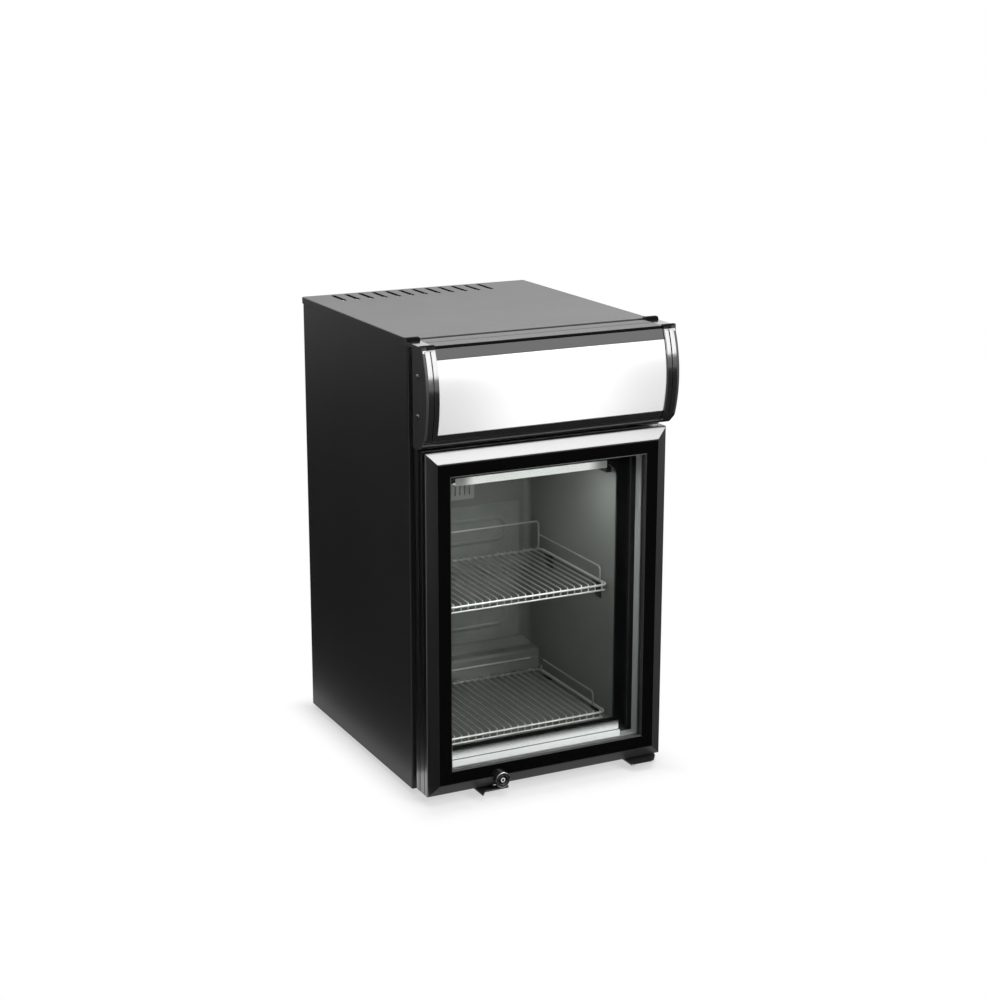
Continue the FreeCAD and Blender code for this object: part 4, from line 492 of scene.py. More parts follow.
def makeGlowAndPaintedLight(name, skin, tones, ends, bright, dim, glow):
    # glows: bright in the middle, dim at the ends, and uneven where there are two tones. The interior lamp's glow is
    # its own; on the sign, whose lamp is off, the glow is painted light and the dim ends are painted shade
    finish = makeFinish(name, *skin)
    tree = finish.node_tree
    tone = tones[0]
    if len(tones) > 1:
        tone = blend(tree, noise(tree, objectSpace(tree), 30.0, 2.0, 0.5), *tones)
    across = addNode(tree, "SeparateXYZ", {0: objectSpace(tree)})["X"]
    fade = smoothRange(tree, reckon(tree, across, ("ABSOLUTE", 0.0)), dim, bright)
    feed(tree, tree.nodes["Principled BSDF"].inputs,
         {"Emission Color": blend(tree, fade, ends, tone), "Emission Strength": glow})
    return finish


def makeGlass():
    # clear panes with finger haze and a shadow that lets light through
    use = named({"body": (0.93, 0.94, 0.93, 1), "shade": (0.66, 0.67, 0.66, 1), "index": 1.5, "haze": 0.024,
                 "threshold": 0.55})
    finish, tree, shader = newMaterial("clearGlass")
    smears = noise(tree, objectSpace(tree), 14.0, 5.0, 0.65)
    haze = reckon(tree, smears, ("SUBTRACT", use.threshold, True), ("MULTIPLY", use.haze, True))
    feed(tree, shader.inputs,
         {"Base Color": use.body, "Transmission Weight": 1, "IOR": use.index, "Roughness": haze})
    passing = addNode(tree, "BsdfTransparent", {"Color": use.shade})
    showMix(tree, addNode(tree, "LightPath")["Is Shadow Ray"], shader.outputs[0], passing[0])
    return finish


finishes = {name: makeFinish(name, *row) for name, row in finishValues.items()}
finishes.update({name: makeGlowAndPaintedLight(name, **values) for name, values in glowAndPaintedLightValues.items()})
finishes["clear_glass"] = makeGlass()
for name, item in nodes.items():
    item.data.materials[0] = finishes[slotOf[name]]
print("finishes ready:", len(finishes))


# Pieces that keep their drawn shape and only get rounded edges

roundedNodes = {
    "side_panel_left": 0.25, "side_panel_right": 0.25, "base_plate": 0.2, "header_panel": 0.2, "mouth_frame": 0.5,
    "liner": 0, "rear_cover": 0.25, "light_switch": 0.25, "light_rocker": 0.3, "glass_spacer": 0.15,
    "glazing_bead": 0.3, "door_gasket": 0.4, "hinge_bracket_bottom": 0.5, "hinge_bracket_top": 0.4, "hinge_pins": 0.3,
    "hinge_bushes": 0.2, "strike_plate": 0.4, "lamp_ends": 0.6, "shelf_brackets": 0.6, "compressor": 1.2,
    "relay_box": 1.5, "driver_box": 0.8, "canopy_lamp_holders": 0.6,
}
roundedLooks = {"glass_spacer": ["spacerMatte"], "hinge_bracket_bottom": ["hinge_steel", "edgePaintedHighlight"]}


def roundedCopy(node, width, looks, edgeDeep=2):
    # a second finish, a light painted highlight, goes on the edge that looks forwards
    bm = bmesh.new()
    bm.from_mesh(nodes[node].data)
    bmesh.ops.remove_doubles(bm, verts=bm.verts, dist=0.005 * mm)
    bmesh.ops.dissolve_limit(bm, angle_limit=radians(1), verts=bm.verts, edges=bm.edges)
    if width:
        softened(bm, width)
    first, *rest = node.split("_")
    foremost = measured(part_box(node)[0]).y + edgeDeep
    pick = lambda spot, way: len(looks) > 1 and way.y < -0.5 and spot.y < foremost
    addPiece(first + "".join(word.capitalize() for word in rest), bm, node, looks, pick)


for node, width in roundedNodes.items():
    roundedCopy(node, width, roundedLooks.get(node, [slotOf[node]]))
print("rounded copies ready:", len(roundedNodes))


# Lid with its vent slots

def buildLid():
    use = named({
        "half": 190, "back": 394, "low": 654, "high": 664, "corner": 3, "edge": 1.6, "wall": 2.5, "slots": 12,
        "pitch": 22.45, "wide": 7, "long": 54, "rowMiddle": -20, "rearMargin": 9, "slotEdge": 0.35,
    })
    shell = slab(box((-use.half, 0), (use.half, use.back), use.corner), "z", use.low, use.high)
    softened(shell, use.edge, 4, test=lambda spot: spot.z > use.high - 0.1)
    hollow = box((-use.half + use.wall, use.wall), (use.half - use.wall, use.back - use.wall), use.corner / 2)
    cutters = [slab(hollow, "z", use.low - use.wall, use.high - use.wall)]
    reach, end = use.wide / 2, use.back - use.rearMargin
    for i in range(use.slots):
        x = use.rowMiddle + (i - (use.slots - 1) / 2) * use.pitch
        outline = box((x - reach, end - use.long), (x + reach, end), reach * 0.8)
        cutters.append(slab(outline, "z", use.high - use.wall * 2, use.high + use.wall))
    lid = softened(carved(shell, joined(cutters)), use.slotEdge, 2, 50)
    # faces that look up take the lid's mid grey, a painted sheen; the sides keep the black casing
    pick = lambda spot, way: way.z <= 0.6 or spot.z <= use.high - use.edge
    addPiece("lidPanel", lid, "top_lid", ["lid", "casing"], pick)


# Canopy: end caps, sign, strips

canopy = {
    # the curve's centre and radii, half the widths over and between the caps, then the levels
    "curveY": 97.027, "curveZ": 591.012, "radius": 172.099, "signRadius": 170.099, "half": 197, "inner": 177,
    "foot": 533, "crown": 658, "bottom": 520, "chin": -50, "roof": 662.5, "signLow": 541.7, "signHigh": 644,
    "fitGap": 0.3,
}
hood = named(canopy)


def curveY(radius, z):
    return hood.curveY - sqrt(radius ** 2 - (z - hood.curveZ) ** 2)


def curveTurn(radius, z):
    return asin((z - hood.curveZ) / radius)


def curvedBand(radius, thickness, x, z, steps=28):
    # a strip that follows the canopy's bulging front
    bm = bmesh.new()
    start, stop = curveTurn(radius, z[0]), curveTurn(radius, z[1])
    centre = place(x[0], hood.curveY, hood.curveZ)
    spoke = Vector((0, -cos(start), sin(start)))
    ends = [bm.verts.new(centre + spoke * (reach * mm)) for reach in (radius, radius - thickness)]
    line = bm.edges.new(ends)
    bmesh.ops.spin(bm, geom=ends + [line], cent=centre, axis=xAxis, angle=start - stop, steps=steps)
    return pushed(bm, xAxis, x[1] - x[0])


def capSlab(back, x):
    # the end cap from the side: the curve is turned, the rest is straight with rounded corners
    use = named({"browRise": 1.3, "browDeep": 7, "browRamp": 1.4, "hornFront": -14.5, "hornRamp": 2,
                 "hornBack": -3.5, "hornRise": 4.4, "chinRound": 4, "footRound": 3})
    bm = bmesh.new()
    start, stop = curveTurn(hood.radius, hood.foot), curveTurn(hood.radius, hood.crown)
    first = bm.verts.new(place(-hood.half, curveY(hood.radius, hood.foot), hood.foot))
    centre = place(-hood.half, hood.curveY, hood.curveZ)
    spun = bmesh.ops.spin(bm, geom=[first], cent=centre, axis=xAxis, angle=start - stop, steps=32)
    last = partsOf(spun, key="geom_last")[0]
    brow = curveY(hood.radius, hood.crown)
    corners = [
        (brow, hood.roof + use.browRise, 1.2), (brow + use.browDeep, hood.roof + use.browRise, 0.8),
        (brow + use.browDeep + use.browRamp, hood.roof), (use.hornFront, hood.roof),
        (use.hornFront + use.hornRamp, hood.roof + use.hornRise, 1.2), (use.hornBack, hood.roof + use.hornRise, 1.2),
        (use.hornBack, hood.crown), (-back, hood.crown), (-back, hood.bottom, 1.0),
        (hood.chin, hood.bottom, use.chinRound),
    ]
    rounds = []
    for y, z, *rounding in corners:
        after = bm.verts.new(place(-hood.half, y, z))
        bm.edges.new((last, after))
        last = after
        rounds += [(after, size) for size in rounding]
    bm.edges.new((last, first))
    bmesh.ops.edgeloop_fill(bm, edges=bm.edges)
    roundCorners(bm, rounds + [(first, use.footRound)], 4)
    bmesh.ops.translate(bm, vec=xAxis * ((x[0] + hood.half) * mm), verts=bm.verts)
    return pushed(bm, xAxis, x[1] - x[0])


def buildEndCap(side):
    use = named({
        "sideBack": 32, "back": 3.5, "rebate": 7, "groove": 1.3, "grooveFromOuter": 11.4, "grooveDepth": 0.9,
        "bandRise": 0.6, "bandDeep": 3, "bandEdge": 0.45, "cheek": 4.2, "cheekBack": -45, "edge": 0.35,
    })
    half, inner, foot, crown = hood.half, hood.inner, hood.foot, hood.crown
    outer = capSlab(use.sideBack, (-half, -half + use.rebate + 0.5))
    cheek = lambda spot: spot.x < 0.01 - half and spot.y < use.cheekBack and spot.z < crown + 1
    softened(outer, use.cheek, 4, 30, cheek)
    body = carved(outer, capSlab(use.back, (-half + use.rebate, -inner)), "UNION")
    middle = -half + use.grooveFromOuter
    for x in ((-half + use.cheek, middle), (middle + use.groove, -inner - 0.7)):
        band = curvedBand(hood.radius + use.bandRise, use.bandDeep, x, (foot + 3, crown - 1))
        body = carved(body, softened(band, use.bandEdge, 2, 40), "UNION")
    groove = curvedBand(hood.radius + 2, 2 + use.grooveDepth, (middle, middle + use.groove), (foot - 2, crown + 1))
    body = softened(carved(body, groove), use.edge, 2, 40)
    if side == "right":
        scaledAbout(body, Vector(), (-1, 1, 1))

    def pick(spot, way):
        if spot.z > hood.roof + 0.25:
            return 1
        return 2 if abs(spot.x) > half - use.cheek * 0.8 else 0

    looks = ["canopy_moulding", "blackMatte", "capSide"]
    addPiece("endCap" + side.capitalize(), body, "end_cap_" + side, looks, pick, 40)


def buildSign():
    use = named({"thick": 2.5, "edge": 0.4})
    half = hood.inner - hood.fitGap
    sign = curvedBand(hood.signRadius, use.thick, (-half, half), (hood.signLow, hood.signHigh), 40)
    addPiece("signPanel", softened(sign, use.edge, 2, 40), "sign_panel")


def buildStrips():
    use = named({"thick": 2.5, "roofBack": -6, "joint": -31, "jointWide": 1.5, "chinBack": -30, "chinRise": 8,
                 "lap": 2, "noseStep": 0.9, "noseRise": 2.6})
    half = hood.inner - hood.fitGap
    radius, crown, roof, foot, low = hood.signRadius, hood.crown, hood.roof, hood.foot, hood.bottom
    thick, under = use.thick, roof - use.thick
    nose = curveY(radius, crown)
    rear = use.joint + use.jointWide
    ledge = [
        (nose + use.noseStep, crown - 0.6), (nose + use.noseStep, crown + use.noseRise, 0.8), (nose + 2.8, roof, 0.7),
        (use.joint, roof, 0.3), (use.joint, under), (nose + 5, under), (nose + 5, crown - 0.6),
    ]
    parts = [
        softened(curvedBand(radius, thick, (-half, half), (hood.signHigh + hood.fitGap, crown + 0.4), 6), 0.3, 2, 40),
        curvedBand(radius - use.lap, thick, (-half, half), (hood.signHigh - use.lap, crown), 6),
        slab(ledge, "x", -half, half),
        slab([(rear, roof, 0.3), (use.roofBack, roof, 0.6), (use.roofBack, under), (rear, under)], "x", -half, half),
        block((-half, half), (use.joint - 4, use.joint + 5), (under - 1.2, under + 0.2)),
    ]

    def pick(spot, way):
        # faces that look up on the roof take the lid's mid grey, a painted sheen
        if way.z > 0.8 and spot.z > roof - 0.4:
            return 1
        # the faces behind the nose, the groove under it among them, are black matte: painted shade in the gap
        return 2 if spot.y > nose + 0.7 else 0

    addPiece("topStrip", joined(parts), "top_strip", ["stripMatte", "lid", "blackMatte"], pick)
    edge, lip, back, rise = curveY(radius, hood.signLow), hood.signLow - hood.fitGap, use.chinBack, low + use.chinRise
    lower = [
        (edge, lip, 0.4), (curveY(radius, foot), foot, 1.5), (hood.chin, low, 4), (back, low, 1), (back, rise, 0.4),
        (back - thick, rise, 0.4), (back - thick, low + thick), (hood.chin, low + thick, 2),
        (curveY(radius, foot) + thick, foot), (edge + thick, lip),
    ]
    seat = curvedBand(radius - thick - 0.3, use.lap, (-half, half), (hood.signLow - 3, hood.signLow + 3), 4)
    addPiece("lowerStrip", joined([slab(lower, "x", -half, half), seat]), "lower_strip")


# Door frame: four mitred members

door = {
    "half": 190, "low": 14.8, "high": 515.3, "back": -16.3, "edge": -53, "crest": -60, "bevel": 17,
    "frame": 37, "seat": 30, "glassFront": -51, "grooves": (0.22, 0.34, 0.72), "grooveHalf": 0.7,
    "grooveDeep": 0.8, "bulge": 0.56, "mitreGap": 0.06, "lockX": -78, "lockZ": 26.5, "lockHole": 8,
    "camSlot": ((-83.5, -61.0), (-48.0, -42.0), (12.8, 21.8)),
}
leaf = named(door)


def doorSection():
    # from the outer side, past the grooves and over the bevel to the glass
    corners = [(0, leaf.back)]
    for share in leaf.grooves:
        y = leaf.back - (leaf.back - leaf.edge) * share
        above, below = y + leaf.grooveHalf, y - leaf.grooveHalf
        corners += [(0, above, 0.25), (leaf.grooveDeep, above, 0.2), (leaf.grooveDeep, below, 0.2), (0, below, 0.25)]
    return corners + [
        (0, leaf.edge, 1.3), (leaf.bevel * 0.5, leaf.edge + (leaf.crest - leaf.edge) * leaf.bulge, 6.0),
        (leaf.bevel, leaf.crest, 2.0), (leaf.frame - 2, leaf.crest, 0.4), (leaf.frame, leaf.crest + 2, 0.5),
        (leaf.frame, leaf.glassFront), (leaf.seat, leaf.glassFront), (leaf.seat, leaf.back, 0.6),
    ]


def buildDoorMember(kind, side):
    # drawn for the left stile or the bottom rail, cut at 45 degrees and turned over for the other two
    low, high, half, gap = leaf.low, leaf.high, leaf.half, leaf.mitreGap
    if kind == "Stile":
        bar = slab([(-half + across, *rest) for across, *rest in doorSection()], "z", low, high, 3)
        cuts = [(place(-half, 0, low + gap), (1, 0, -1)), (place(-half, 0, high - gap), (1, 0, 1))]
    else:
        bar = slab([(y, low + across, *rest) for across, y, *rest in doorSection()], "x", -half, half, 3)
        cuts = [(place(-half + gap, 0, low), (-1, 0, 1)), (place(half - gap, 0, low), (1, 0, 1))]
    for spot, outward in cuts:
        bmesh.ops.bisect_plane(bar, geom=bar.verts[:] + bar.edges[:] + bar.faces[:], dist=1e-7, plane_co=spot,
                               plane_no=outward, clear_outer=True)
        bmesh.ops.edgeloop_fill(bar, edges=[edge for edge in bar.edges if edge.is_boundary])
    if side == "right":
        scaledAbout(bar, Vector(), (-1, 1, 1))
    if side == "top":
        scaledAbout(bar, zAxis * ((low + high) / 2 * mm), (1, 1, -1))
    tidied(bar)
    if side == "bottom":
        hole = [(-4, leaf.lockHole), (12, leaf.lockHole), (12, 0), (-4, 0)]
        bar = carved(bar, turned(hole, place(leaf.lockX, leaf.crest, leaf.lockZ), yAxis, 40))
        bar = carved(bar, block(*leaf.camSlot))

    def pick(spot, way):
        if way.y < -0.98 and abs(spot.y - leaf.crest) < 0.4:
            return 1
        # the top rail's inner chamfer takes a grey painted highlight, for the gleam of the glass edge
        if side == "top" and way.z < -0.3 and spot.z < high - leaf.frame + 1.6 and spot.y < leaf.crest + 2.4:
            return 3
        return 2 if side in ("bottom", "right") and spot.y < leaf.edge else 0

    looks = ["door_frame", "doorGloss", "bevelSatin", "rimPaintedHighlight"]
    addPiece("door" + kind + side.capitalize(), bar, "door_" + kind.lower() + "_" + side, looks, pick, 30)


# Bright strip at the foot of the glazing, with dots that thin out upwards on its dark upper half

def buildSill():
    use = named({
        "left": -152, "right": 125, "front": -46.4, "back": -32, "low": 51.6, "line": 61.2, "high": 77,
        "joint": 1.1, "setBack": 0.5, "dotLow": 2.3, "dotRise": 0.12, "pitch": 2.1, "rows": 9, "firstDot": 1.2,
        "lastDot": 0.25, "easing": 1.6, "margin": 2,
    })
    left, right, front, back, low, line, high = use.left, use.right, use.front, use.back, use.low, use.line, use.high
    face, foot = front + use.setBack, line + use.joint
    parts = [
        slab([(front, low, 0.3), (front, line, 0.4), (back, line, 0.3), (back, low, 0.3)], "x", left, right, 3),
        slab([(face, foot, 0.3), (face, high, 0.8), (back, high, 0.8), (back, foot, 0.3)], "x", left, right, 3),
        block((left + 0.3, right - 0.3), (front + 1.2, back - 0.4), (line - 0.4, line + 2)),
    ]
    rise = (high - line - 3) / (use.rows - 1)
    count = int((right - left - use.margin * 2) / use.pitch)
    for row in range(use.rows):
        size = use.firstDot + (use.lastDot - use.firstDot) * (row / (use.rows - 1)) ** use.easing
        shift = use.pitch / 2 if row % 2 else 0
        centre = place(left + use.margin + shift, face, line + use.dotLow + row * rise)
        dot = turned([(0, 0), (-use.dotRise, size * 0.6), (0, size)], centre, yAxis, 6)
        parts.append(rowOf(dot, use.pitch, count))
    pick = lambda spot, way: spot.z > line + 0.02 and spot.y > front + 0.45
    addPiece("sillStrip", joined(parts), "sill_strip", ["sillBright", "blackMatte"], pick)


# Lock: ringed housing, barrel with key slot and cam

def buildLock():
    use = named({
        "face": -68.5, "radius": 11.5, "bore": 6.55, "deep": 8.5, "barrelFace": -67.7, "barrel": 6.5,
        "barrelDeep": 24.2, "keyHalf": (0.9, 4.0), "ward": ((-0.2, 1.7), (-1.2, 0.6)),
        "cam": ((-4.0, 18.0), (-4.0, 4.0)), "camDeep": (-46.4, -43.6), "camRound": 1.5, "camEdge": 0.4,
    })
    x, z, outer, bore, face = leaf.lockX, leaf.lockZ, use.radius, use.bore, use.barrelFace
    centre = place(x, use.face, z)
    profile = [
        (0.9, bore), (0.2, bore + 0.6), (0, bore + 1.1), (0, bore + 1.7), (0.7, bore + 2.2), (0.7, bore + 2.7),
        (0.1, bore + 3.1), (0.1, outer - 0.9), (0.4, outer - 0.3), (1.1, outer), (use.deep, outer), (use.deep, bore),
        (0.9, bore),
    ]
    distance = lambda spot, middle: (spot - measured(middle)).length
    rim = lambda spot, way: spot.y < use.face + 1.05 and distance(spot, centre) > outer - 1.0
    addPiece("lockHousing", turned(profile, centre, yAxis, 64), "lock_housing", ["lock_case", "plated_steel"], rim)
    middle = place(x, face, z)
    profile = [(0, 0), (0, 4.4), (0.45, 4.9), (0.45, 5.5), (0, 5.9), (0.5, use.barrel), (use.barrelDeep, use.barrel),
               (use.barrelDeep, 0)]
    barrel = turned(profile, middle, yAxis, 56)
    (wide, tall), (across, up) = use.keyHalf, use.ward
    barrel = carved(barrel, block((x - wide, x + wide), (face - 1, face + 4), (z - tall, z + tall)))
    barrel = carved(barrel, block((x + across[0], x + across[1]), (face - 1, face + 4), (z + up[0], z + up[1])))
    (near, far), (low, high) = use.cam
    cam = softened(slab(box((x + near, z + low), (x + far, z + high), use.camRound), "y", *use.camDeep), use.camEdge)
    plug = turned([(-0.35, 2.2), (-0.35, 3.4), (0.3, 3.7), (0.3, 2.2)], middle, yAxis, 32)
    # the plug in the middle is a real part, but its near white is a painted highlight
    bright = lambda spot, way: spot.y < use.face + 0.7 and distance(spot, middle) < 4
    addPiece("lockBarrel", joined([barrel, cam, plug]), "lock_barrel", ["darkPlate", "sillBright"], bright)


# Shelves of round wire with their rails

shelves = {
    "half": 136, "front": 15, "back": 225, "rod": 2.4, "showRod": 2.2, "wire": 3.2, "ladderWire": 2.6, "drop": 7.4,
    "bend": 9, "rodBend": 2.2, "rods": 23, "row": 127.05, "railBend": 6, "upperLevel": 271.4, "lowerLevel": 71.4,
    "upperFront": 25, "backRise": 43, "sideRise": 22, "lowerFront": 41, "lowerRise": 20, "legInset": 12,
}
shelf = named(shelves)


def buildShelf(which, level):
    front, back, rod, wire, row = shelf.front, shelf.back, shelf.rod, shelf.wire, shelf.row
    side, reach = shelf.half - wire / 2, row + rod
    z = level - rod - wire / 2
    corners = ((0, back), (-side, back), (-side, front), (side, front), (side, back), (0, back))
    loop = [place(x, y, z) for x, y in corners]
    ladder = [place(x, front - 0.3, z - shelf.drop) for x in (-reach, reach)]
    knee = front + wire / 2 + rod / 2 + 0.6
    rodLine = [place(-row, back + wire / 2, level - rod / 2), place(-row, knee, level - rod / 2),
               place(-row, knee, level - rod - wire - shelf.drop)]
    parts = [
        bentWire(loop, wire, shelf.bend, 14, 7, True),
        softened(bentWire(ladder, shelf.ladderWire, 0, 14, 1), 0.5, 2, 60),
        rowOf(bentWire(rodLine, shelf.showRod, shelf.rodBend, 10, 4), row * 2 / (shelf.rods - 1), shelf.rods),
    ]
    # the frame's front and sides and the ladder take the lighter wire finish, a painted highlight; the rods behind
    # keep the plating's darker tone
    pick = lambda spot, way: spot.y > front + wire and abs(spot.x) < reach
    addPiece(which + "Shelf", joined(parts), which + "_shelf", ["shelfWire", "shelfRod"], pick, 50)


def buildRails():
    x, inner = shelf.row, shelf.back - shelf.rod * 2
    level, lower = shelf.upperLevel, shelf.lowerLevel
    foot, tall, high, front = level - 1, level + shelf.backRise, level + shelf.sideRise, shelf.upperFront
    bow = [(-x, inner, foot), (-x, inner, tall), (x, inner, tall), (x, inner, foot)]
    upper = [bow] + [[(side, front, foot), (side, front, high), (side, inner, high)] for side in (-x, x)]
    foot, high, front = lower - 1, lower + shelf.lowerRise, shelf.lowerFront
    arm = [(front, foot), (front, high), (inner, high)]
    loop = [(-x, *spot) for spot in arm] + [(x, *spot) for spot in arm[::-1]]
    leg = inner - shelf.legInset
    legs = [[(side, leg, foot), (side, leg, high)] for side in (-x, x)]
    for which, lines in (("upper", upper), ("lower", [loop] + legs)):
        wires = [bentWire([place(*spot) for spot in line], shelf.rod, shelf.railBend, 12, 6) for line in lines]
        addPiece(which + "ShelfRail", joined(wires), which + "_shelf_rail", ["shelfRod"], smooth=50)


# Evaporator plate with its winding channel

def buildEvaporator():
    use = named({"half": 120, "low": 112.4, "high": 336.4, "thick": 1.5, "corner": 6, "edge": 0.4, "margin": 24,
                 "rows": 6, "channel": 7, "rise": 1.45})
    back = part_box("evaporator_plate")[1].y / mm - frontPlane / mm
    front = back - use.thick
    plate = softened(slab(box((-use.half, use.low), (use.half, use.high), use.corner), "y", front, back), use.edge)
    pitch = (use.high - use.low - 2 * use.margin) / (use.rows - 1)
    run = use.half - use.margin
    path = []
    for i in range(use.rows):
        z = use.low + use.margin + i * pitch
        path += [place(x, front, z) for x in ((-run, run) if i % 2 == 0 else (run, -run))]
    tube = bentWire(path, use.channel, pitch / 2 - 0.01, 16, 6)
    scaledAbout(tube, yAxis * (front * mm + frontPlane), (1, use.rise / (use.channel / 2), 1))
    addPiece("evaporatorPlate", joined([plate, tube]), "evaporator_plate", smooth=45)


# Thermostat box and knob

def buildThermostat():
    use = named({
        "left": -62, "right": 33, "low": 353.4, "high": 395.4, "front": 255, "back": 275, "corner": 4, "edge": 1.6,
        "knobX": -31, "knobZ": 374.4, "vents": 4, "ventWide": 2, "ventPitch": 8, "ventMargin": 7.5, "shaft": 3,
        "bore": 3.06, "marks": 10, "firstMark": -225, "markStep": 30, "markRadius": 15.6, "mark": (2.2, 0.2, 0.5),
        "knob": 13, "knobTip": 12.4, "knobLong": 12, "flutes": 14, "fluteShare": 0.05, "gap": 0.3,
    })
    x, z, front = use.knobX, use.knobZ, use.front
    case = slab(box((use.left, use.low), (use.right, use.high), use.corner), "y", front, use.back)
    softened(case, use.edge, 4, test=lambda spot: spot.y < front + 0.2)
    cutters = [turned([(-4, use.bore), (12, use.bore), (12, 0), (-4, 0)], place(x, front, z), yAxis, 32)]
    for i in range(use.vents):
        edge = use.right - use.ventPitch * (i + 1)
        vent = box((edge - use.ventWide, use.low + use.ventMargin), (edge, use.high - use.ventMargin), 0.9)
        cutters.append(slab(vent, "y", front - 3, front + 5))
    addPiece("thermostatBox", carved(case, joined(cutters)), "thermostat_box")
    marks = []
    size = Matrix.Diagonal((*(side * mm for side in use.mark), 1))
    for i in range(use.marks):
        turn = radians(use.firstMark + i * use.markStep)
        middle = place(x + use.markRadius * cos(turn), front - 0.06, z + use.markRadius * sin(turn))
        marks.append(bmesh.new())
        facing = Matrix.Translation(middle) @ Matrix.Rotation(-turn, 4, "Y")
        bmesh.ops.create_cube(marks[-1], size=1, matrix=facing @ size)
    addPiece("thermostatScale", joined(marks), looks=["white_plastic"])
    face = front - use.gap
    centre = place(x, face - use.knobLong / 2, z)
    knob = bmesh.new()
    facing = Matrix.Translation(centre) @ Matrix.Rotation(pi / 2, 4, "X")
    bmesh.ops.create_cone(knob, cap_ends=True, segments=56, radius1=use.knob * mm, radius2=use.knobTip * mm,
                          depth=use.knobLong * mm, matrix=facing)
    for vert in knob.verts:
        spoke = vert.co - centre
        share = 1 - use.fluteShare * (1 + cos(atan2(spoke.z, spoke.x) * use.flutes))
        vert.co = centre + Vector((spoke.x * share, spoke.y, spoke.z * share))
    softened(knob, 0.9, 3, 50)
    knob = carved(knob, block((x - 0.8, x + 0.8), (face - 13, face - 11.2), (z, z + 9.8)))  # the pointer
    shaft = turned([(-0.5, 0), (-0.5, use.shaft), (9.7, use.shaft), (9.7, 0)], place(x, face, z), yAxis, 32)
    addPiece("thermostatKnob", joined([knob, shaft]), "thermostat_knob")


# Interior lamp: a trough with a thin lit lens in front

def buildLamp():
    use = named({"low": 449, "top": 456, "half": 125, "wall": 1.2, "round": 5, "lipFront": -2, "lipThick": 0.6,
                 "lipLow": 450.5, "lipHigh": 461.5, "lipHalf": 121})
    front, back = (corner.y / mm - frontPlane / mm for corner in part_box("lamp_cover"))
    low, top, wall, lip, thick = use.low, use.top, use.wall, use.lipFront, use.lipThick
    inner = use.round - wall
    cover = slab([(front, top), (front, low, use.round), (back, low, use.round), (back, top), (back - wall, top),
                  (back - wall, low + wall, inner), (front + wall, low + wall, inner), (front + wall, top)],
                 "x", -use.half, use.half, 6)
    foot, tip, flat = use.lipLow, use.lipHigh, use.lipLow + thick * 2
    fascia = slab([(lip, foot, 0.4), (lip, tip, 0.25), (lip + thick, tip, 0.25), (lip + thick, flat),
                   (front + thick, flat), (front + thick, foot)], "x", -use.lipHalf, use.lipHalf, 3)
    pick = lambda spot, way: spot.y < lip + thick + 0.3
    addPiece("lampCover", joined([cover, fascia]), "lamp_cover", ["diffuser", "fascia"], pick, 50)


# Small parts: screws, feet, cable gland

def buildScrews():
    use = named({
        # shares of the head's rise and radius, then of its cross
        "profile": [(0, 0), (0, 0.97), (0.35, 0.94), (0.75, 0.7), (1, 0.3), (1, 0)],
        "cross": (0.28, 1.1), "crossDeep": 1.5, "inside": Vector((0, 0, 0.33)),
    })
    heads = []
    for low, high in islandsOf("screws"):
        size = high - low
        thin = min(range(3), key=lambda i: size[i])
        axis = axes[thin]
        inside = use.inside if thin != 2 else Vector()
        middle = (low + high) / 2
        outward = axis if (middle - inside).dot(axis) > 0 else -axis
        if thin == 1 and low.y < frontPlane:
            outward = -axis
        foot = middle - outward * (size[thin] / 2)
        radius, rise = max(size) / 2 / mm, size[thin] / mm
        head = turned([(rise * up, radius * out) for up, out in use.profile], foot, outward, 28)
        side = outward.orthogonal().normalized()
        turn = Matrix((side, outward.cross(side), outward)).transposed().to_4x4()
        for wide, long in (use.cross, use.cross[::-1]):
            tool = bmesh.new()
            size = Matrix.Diagonal((wide * radius * mm, long * radius * mm, use.crossDeep * mm, 1))
            bmesh.ops.create_cube(tool, size=1, matrix=Matrix.Translation(foot + outward * (rise * mm)) @ turn @ size)
            head = carved(head, tool)
        heads.append(head)
    addPiece("screwHeads", joined(heads), "screws", ["screwHead"])


def buildFeet():
    profile = [(0, 0), (0, 8.6), (0.7, 10.0), (1.2, 11.2), (5.5, 13.2), (6.2, 13.8), (8, 13.8), (8, 0)]
    centres = [Vector(((low.x + high.x) / 2, (low.y + high.y) / 2, low.z)) for low, high in islandsOf("feet")]
    addPiece("rubberFeet", joined([turned(profile, centre, zAxis, 40) for centre in centres]), "feet")


def buildGland():
    profile = [(0, 4), (0, 9.8), (8, 9.8), (8, 11.9), (9.3, 11.9), (10, 11.2), (10, 8.9), (11.2, 8.4), (12, 7.9),
               (12, 4.6), (11.4, 4), (0, 4)]
    low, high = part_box("cable_gland")
    centre = Vector(((low.x + high.x) / 2, low.y, (low.z + high.z) / 2))
    addPiece("cableGland", turned(profile, centre, yAxis, 40), "cable_gland")


buildLid()
buildEndCap("left")
buildEndCap("right")
buildSign()
buildStrips()
print("canopy ready")
for kind, side in (("Stile", "left"), ("Stile", "right"), ("Rail", "bottom"), ("Rail", "top")):
    buildDoorMember(kind, side)
buildSill()
buildLock()
print("door ready")
buildShelf("upper", shelf.upperLevel)
buildShelf("lower", shelf.lowerLevel)
buildRails()
buildEvaporator()
buildThermostat()
buildLamp()
print("inside ready")
buildScrews()
buildFeet()
buildGland()
print("small parts ready")


# Floor, reflection cards, lights and camera, in metres

def seenRays(tree):
    rays = addNode(tree, "LightPath")
    direct = reckon(tree, rays["Is Camera Ray"], ("MAXIMUM", rays["Is Glossy Ray"]))
    return reckon(tree, direct, ("MAXIMUM", rays["Is Transmission Ray"]))


